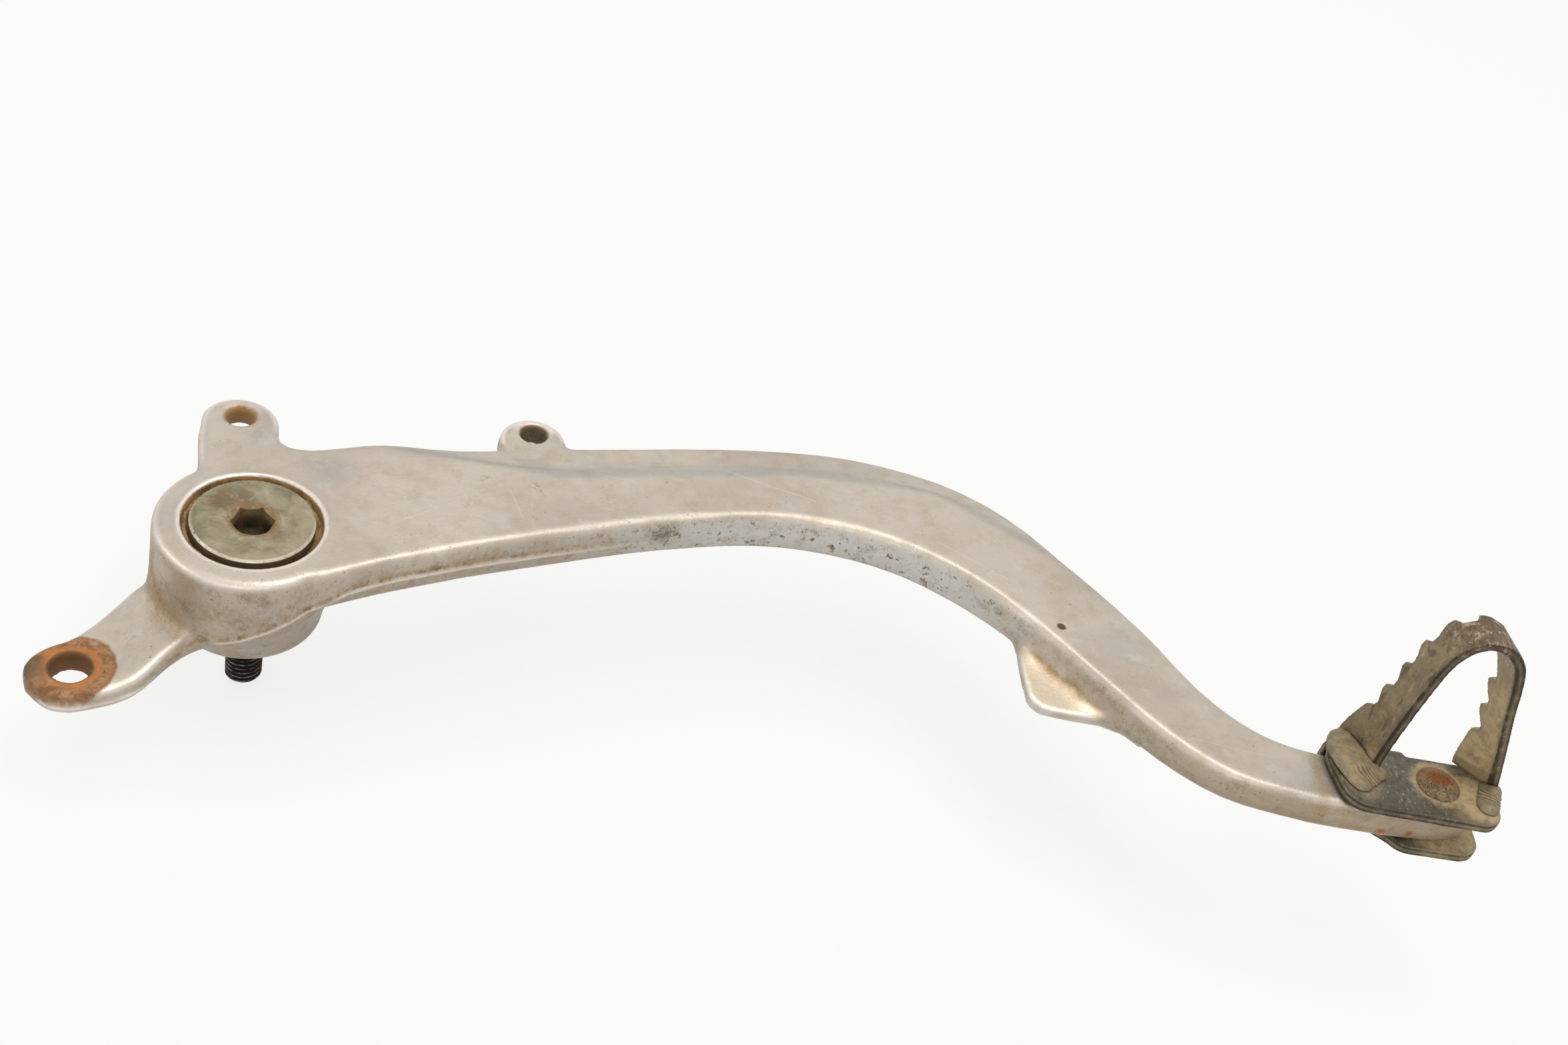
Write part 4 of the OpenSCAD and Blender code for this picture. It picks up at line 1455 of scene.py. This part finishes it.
@dataclass
class PivotBolt:
    """The shoulder bolt: its turned head and journal, and a cut thread."""

    cut_at: float = -0.62
    edge_break: float = 0.12
    thread_depth: float = 0.72
    pitch: float = 1.25
    top: float = -0.3
    bottom: float = -19.6
    point: float = 1.0
    neck: float = 1.4
    around: int = 96
    rows: int = 190

    def build(self) -> list[bpy.types.Object]:
        """Makes the head with its journal, and the thread.

        Returns:
            The two pieces.
        """
        oily = ThreadFinish().make()
        head = dress(self._head(), BoltFinish().make(), Body.BOLT, Slot.BOLT, "pivot_bolt")
        thread = dress(self._thread(oily), oily, Body.BOLT, Slot.BOLT)
        return [head, thread]

    def _head(self) -> bpy.types.Object:
        """Copies the bolt above its thread and breaks its edges.

        Returns:
            The head and journal.
        """
        head = merged_copy("pivot_bolt", "bolt_head_and_journal")
        work = bmesh.new()
        work.from_mesh(head.data)
        bmesh.ops.dissolve_limit(
            work,
            angle_limit=math.radians(0.4),
            verts=work.verts,
            edges=work.edges,
            use_dissolve_boundaries=False,
        )
        geometry = list(work.verts) + list(work.edges) + list(work.faces)
        cut = bmesh.ops.bisect_plane(
            work, geom=geometry, plane_co=(0, 0, self.cut_at * MM), plane_no=(0, 0, 1), clear_inner=True
        )
        border = [e for e in cut["geom_cut"] if isinstance(e, bmesh.types.BMEdge)]
        bmesh.ops.holes_fill(work, edges=border)
        bmesh.ops.recalc_face_normals(work, faces=work.faces)
        for face in work.faces:
            face.smooth = True
        work.to_mesh(head.data)
        work.free()
        bevel = head.modifiers.new("broken_edges", "BEVEL")
        bevel.width = self.edge_break * MM
        bevel.segments = 2
        bevel.limit_method = "ANGLE"
        bevel.angle_limit = math.radians(32)
        weigh = head.modifiers.new("flat_faces", "WEIGHTED_NORMAL")
        weigh.weight = 100
        mesh = evaluated_mesh(head, "bolt_head_and_journal")
        head.modifiers.clear()
        head.data = mesh
        return head

    def _thread(self, material: bpy.types.Material) -> bpy.types.Object:
        """Makes the thread as a cylinder whose radius follows a screw rule.

        Args:
            material: Its finish.

        Returns:
            The thread.
        """
        tree = Tree("screw_thread")
        major = tree.size("Major Radius", THREAD_RADIUS)
        depth = tree.size("Depth", self.thread_depth)
        pitch = tree.size("Pitch", self.pitch)
        top = tree.size("Top", self.top)
        bottom = tree.size("Bottom", self.bottom)
        counts = {"Vertices": self.around, "Side Segments": self.rows, "Fill Segments": 1}
        sizes = {"Radius": 1.0, "Depth": top - bottom}
        rod = tree.node("GeometryNodeMeshCylinder", {"fill_type": "TRIANGLE_FAN"}, counts | sizes, "Mesh")
        place = tree.node("GeometryNodeInputPosition")
        x, y, z = (tree.part(place, axis) for axis in range(3))
        height = z + (top + bottom) * 0.5
        turn = y.math("ARCTAN2", x) / (2.0 * math.pi)
        phase = (height / pitch - turn + 64.0).math("FRACT")
        slope = (phase - 0.5).math("ABSOLUTE") * 2.0
        flank = tree.node("ShaderNodeMapRange", {}, {"Value": slope, "From Min": 0.14, "From Max": 0.86})
        screw = major - flank * depth
        point = major - self.point * MM + (height - bottom)
        neck = major - depth + (top - self.neck * MM - height).most(0.0)
        on_rim = (x * x + y * y).math("SQRT").math("GREATER_THAN", 0.5)
        radius = screw.math("MINIMUM", point.math("MINIMUM", neck)) * on_rim
        sockets = {"Geometry": rod, "Position": tree.joined(x * radius, y * radius, height)}
        thread = tree.bake(tree.node("GeometryNodeSetPosition", {}, sockets), material, "bolt_thread")
        thread.data.shade_smooth()
        thread.data.set_sharp_from_angle(angle=math.radians(50))
        return thread


@dataclass
class Seals:
    """The two seal rings in the bore."""

    nodes: tuple[str, ...] = ("outer_seal_ring", "inner_seal_ring")

    def build(self) -> list[bpy.types.Object]:
        """Dresses the rings' own solids.

        Returns:
            The two rings.
        """
        material = RubberFinish().make()
        rings = [bpy.data.objects[node] for node in self.nodes]
        for ring in rings:
            ring.data.materials.clear()
            ring.data.materials.append(material)
        return rings


@dataclass
class TipBracket:
    """The folded sheet round the tongue, and its rivet."""

    sheet_cell: float = 0.28
    rivet_cell: float = 0.17
    finish: SteelFinish = SteelFinish(
        name="dull_sheet_steel",
        plate=paint(108, 105, 96),
        dark=paint(84, 80, 70),
        tan=paint(156, 137, 100),
        soil=0.34,
        rust_at=(Mark((246.0, -33.0, 16.0), 1.0, 4.0, 0.5),),
        tan_at=(
            Mark((270.0, -27.5, 28.4), 4.0, 9.0, 0.9),
            Mark((264.5, -29.5, 28.4), 1.0, 5.0, 0.7),
            Mark((258.0, -24.8, 28.4), 5.3, 7.2, 0.7),
            Mark((240.0, -27.5, 28.4), 2.0, 6.0, 0.5),
            Mark((266.0, -27.0, 18.0), 8.0, 16.0, 0.95),
        ),
    )

    def build(self) -> list[bpy.types.Object]:
        """Makes the bracket and the rivet.

        Returns:
            The two pieces.
        """
        return [self._sheet(), self._rivet()]

    def _sheet(self) -> bpy.types.Object:
        """Softens the folded sheet's cut edges and dents it a little.

        Returns:
            The bracket.
        """
        skin = Skin("tip_bracket", "folded_tip_bracket", self.sheet_cell)
        skin.soften(7)
        skin.push(0.05 * lattice_noise(skin.at, 7.0, 11) + 0.02 * lattice_noise(skin.at, 2.5, 12) - 0.03)
        skin.store("edge", skin.curvature(16))
        rim = skin.from_edges()
        cut = rise(np.abs(skin.normals()[:, 2]), 0.5, 0.2)
        skin.store("rim", rim)
        skin.store("front", cut)
        skin.store("band", cut * rise(rim, 0.45, 0.85) * rise(rim, 1.9, 1.5))
        return skin.finish(self.finish.make(), Slot.SHEET)

    def _rivet(self) -> bpy.types.Object:
        """Roughens the rivet heads with rust.

        Returns:
            The rivet.
        """
        skin = Skin("tip_rivet", "tip_rivet_body", self.rivet_cell)
        skin.soften(4)
        z = skin.at[:, 2]
        above = rise(z, PLATE_TOP + 0.3, PLATE_TOP + 0.8)
        below = rise(z, PLATE_LOW - 0.3, PLATE_LOW - 0.8)
        grain = 0.07 * lattice_noise(skin.at, 0.9, 21) + 0.08 * lattice_noise(skin.at, 2.2, 22) - 0.15
        skin.push(grain * np.maximum(above, below))
        skin.store("edge", skin.curvature(10))
        return skin.finish(RivetFinish().make(), Slot.RIVET)


@dataclass
class ToothedTread:
    """The toothed loop and the weld metal at its feet."""

    cell: float = 0.26
    weld_cell: float = 0.25
    left_centre: tuple[float, float] = (243.6, -24.6)
    right_centre: tuple[float, float] = (270.8, -24.2)
    ripple_start: float = 1.8
    ripple_step: float = 0.85
    ripple_depth: float = 0.09
    finish: SteelFinish = SteelFinish(
        name="toothed_strip_steel",
        plate=paint(152, 139, 113),
        dark=paint(116, 106, 86),
        tan=paint(170, 149, 112),
        soil=0.75,
        cut_shade=0.8,
        rust_at=(Mark((252.0, -19.0, 69.0), 4.0, 10.5, 0.9), Mark((246.0, -16.0, 66.0), 2.0, 6.0, 0.7)),
        tan_at=(Mark((243.0, -22.0, 31.0), 1.5, 5.0, 0.6), Mark((270.0, -18.0, 42.0), 12.0, 24.0, 0.95)),
    )

    def build(self) -> list[bpy.types.Object]:
        """Makes the loop and both welds.

        Returns:
            The three pieces.
        """
        metal = WeldFinish().make()
        return [
            self._loop(),
            self._weld("left_weld_bead", "left_weld", metal, self.left_centre),
            self._weld("right_weld_bead", "right_weld", metal, self.right_centre),
        ]

    def _loop(self) -> bpy.types.Object:
        """Softens the strip, its teeth and its cut edges.

        Returns:
            The loop.
        """
        skin = Skin("tread_loop", "toothed_tread_loop", self.cell)
        skin.soften(8)
        skin.push(0.05 * lattice_noise(skin.at, 6.0, 31) + 0.025 * lattice_noise(skin.at, 1.8, 32) - 0.04)
        skin.store("edge", skin.curvature(14))
        rim = skin.from_edges()
        cut = rise(-skin.normals()[:, 1], 0.6, 0.85)
        skin.store("rim", rim)
        skin.store("front", cut)
        skin.store("band", cut * rise(rim, 0.7, 1.2))
        return skin.finish(self.finish.make(), Slot.LOOP)

    def _weld(
        self, node: str, name: str, metal: bpy.types.Material, centre: tuple[float, float]
    ) -> bpy.types.Object:
        """Rounds a bead and lays the arcs of its ripples in it.

        Args:
            node: The bead's solid.
            name: Name of the piece.
            metal: Its finish.
            centre: Middle of the arcs.

        Returns:
            The bead.
        """
        skin = Skin(node, name, self.weld_cell)
        skin.soften(26)
        x, y, _ = skin.at.T
        radius = np.hypot(x - centre[0], y - centre[1]) + 0.25 * lattice_noise(skin.at, 2.2, 41)
        toe = rise(radius, self.ripple_start, self.ripple_start + 1.0) * rise(radius, 6.4, 4.8)
        toe *= rise(y, centre[1] + 0.8, centre[1] - 1.0)
        ripple = np.sin(radius * 2.0 * math.pi / self.ripple_step) * toe
        skin.push(self.ripple_depth * ripple + 0.05 * lattice_noise(skin.at, 1.6, 42) - 0.04)
        skin.store("ripple", ripple)
        skin.store("edge", skin.curvature(12))
        return skin.finish(metal, Slot.WELD)


# Studio


@dataclass(frozen=True)
class Softbox:
    """One rectangular lamp, in millimetres and watts."""

    name: str
    at: Point
    aim: Point
    width: float
    depth: float
    power: float

    def build(self) -> None:
        """Hangs the lamp at its place and turns it to its aim."""
        data = bpy.data.lights.new(self.name, "AREA")
        data.shape = "RECTANGLE"
        data.size = self.width * MM
        data.size_y = self.depth * MM
        data.energy = self.power
        lamp = linked(self.name, data)
        lamp.location = Vector(self.at) * MM
        lamp.rotation_mode = "QUATERNION"
        lamp.rotation_quaternion = (Vector(self.aim) - Vector(self.at)).to_track_quat("-Z", "Y")


@dataclass
class Studio:
    """Pale floor, soft light and the camera of the photograph."""

    camera_at: Point = (50.0, -313.5, 309.2)
    camera_right: Point = (0.9758, 0.0, 0.21857)
    camera_up: Point = (-0.1667, 0.647, 0.7441)
    focal_pixels: float = 2957.5
    frame_width: float = 2353.0
    sensor_width: float = 36.0
    floor_height: float = -20.4
    floor_reach: float = 4000.0
    floor_colour: Colour = (0.86, 0.86, 0.86, 1.0)
    floor_seen: float = 0.78
    floor_mirrored: float = 0.25
    soft_colour: Colour = (1.0, 0.99, 0.97, 1.0)
    soft_strength: float = 0.72
    lamps: tuple[Softbox, ...] = (
        Softbox("overhead_softbox", (240.0, 60.0, 900.0), (140.0, 0.0, 20.0), 900.0, 420.0, 2.3),
        Softbox("front_softbox", (60.0, -760.0, 640.0), (110.0, 0.0, 10.0), 700.0, 160.0, 0.6),
        Softbox("side_softbox", (-700.0, -100.0, 420.0), (60.0, 0.0, 20.0), 300.0, 300.0, 0.5),
    )

    def build(self) -> None:
        """Sets the floor, the world, the lamps and the camera."""
        bpy.context.scene.view_settings.view_transform = "Standard"
        self._floor()
        self._world()
        for lamp in self.lamps:
            lamp.build()
        self._camera()

    def _floor(self) -> None:
        """Lays the pale floor, which shows near white to the camera and keeps a soft shadow."""
        size, z = self.floor_reach * MM, self.floor_height * MM
        mesh = bpy.data.meshes.new("studio_floor")
        corners = [(-size, -size, z), (size, -size, z), (size, size, z), (-size, size, z)]
        mesh.from_pydata(corners, [], [(0, 1, 2, 3)])
        b = Bench("pale_floor", self.floor_colour)
        seen = b.ray("Camera").most(b.ray("Transmission")) * self.floor_seen
        seen = seen + b.ray("Glossy") * self.floor_mirrored
        pale = b.node("ShaderNodeBsdfDiffuse", {}, {"Color": b.colour})
        white = b.node("ShaderNodeEmission", {}, {"Color": WHITE, "Strength": 1.0})
        mixed = b.node("ShaderNodeMixShader", {}, {0: seen, 1: pale, 2: white})
        b.node("ShaderNodeOutputMaterial", {}, {"Surface": mixed})
        mesh.materials.append(b.material)
        linked("studio_floor", mesh)

    def _world(self) -> None:
        """Sets a white surround, softer for diffuse light."""
        world = bpy.data.worlds.new("studio_world")
        bpy.context.scene.world = world
        world.use_nodes = True
        b = Board(world.node_tree)
        direct = b.ray("Camera").most(b.ray("Glossy")).most(b.ray("Transmission"))
        soft = b.node("ShaderNodeBackground", {}, {"Color": self.soft_colour, "Strength": self.soft_strength})
        white = b.node("ShaderNodeBackground", {}, {"Color": WHITE, "Strength": 1.0})
        mixed = b.node("ShaderNodeMixShader", {}, {0: direct, 1: soft, 2: white})
        b.node("ShaderNodeOutputWorld", {}, {"Surface": mixed})

    def _camera(self) -> None:
        """Places the camera where the photograph was taken."""
        data = bpy.data.cameras.new("photo_camera")
        data.sensor_width = self.sensor_width
        data.lens = self.focal_pixels / self.frame_width * self.sensor_width
        data.clip_start = 0.01
        camera = linked("photo_camera", data)
        right = Vector(self.camera_right).normalized()
        up = Vector(self.camera_up)
        up = (up - right * up.dot(right)).normalized()
        turn = Matrix((right, up, right.cross(up))).transposed().to_4x4()
        turn.translation = Vector(self.camera_at) * MM
        camera.matrix_world = turn
        bpy.context.scene.camera = camera


def main() -> None:
    """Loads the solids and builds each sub-assembly in order."""
    logging.basicConfig(level=logging.INFO, format="%(name)s %(message)s")
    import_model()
    for assembly in (ForgedLever(), PivotBolt(), Seals(), TipBracket(), ToothedTread()):
        for piece in assembly.build():
            mesh = piece.data
            triangles = len(mesh.loops) - 2 * len(mesh.polygons)
            logger.info("%s: %d triangles, %s", piece.name, triangles, mesh.materials[0].name)
    Studio().build()


if __name__ == "__main__":
    main()
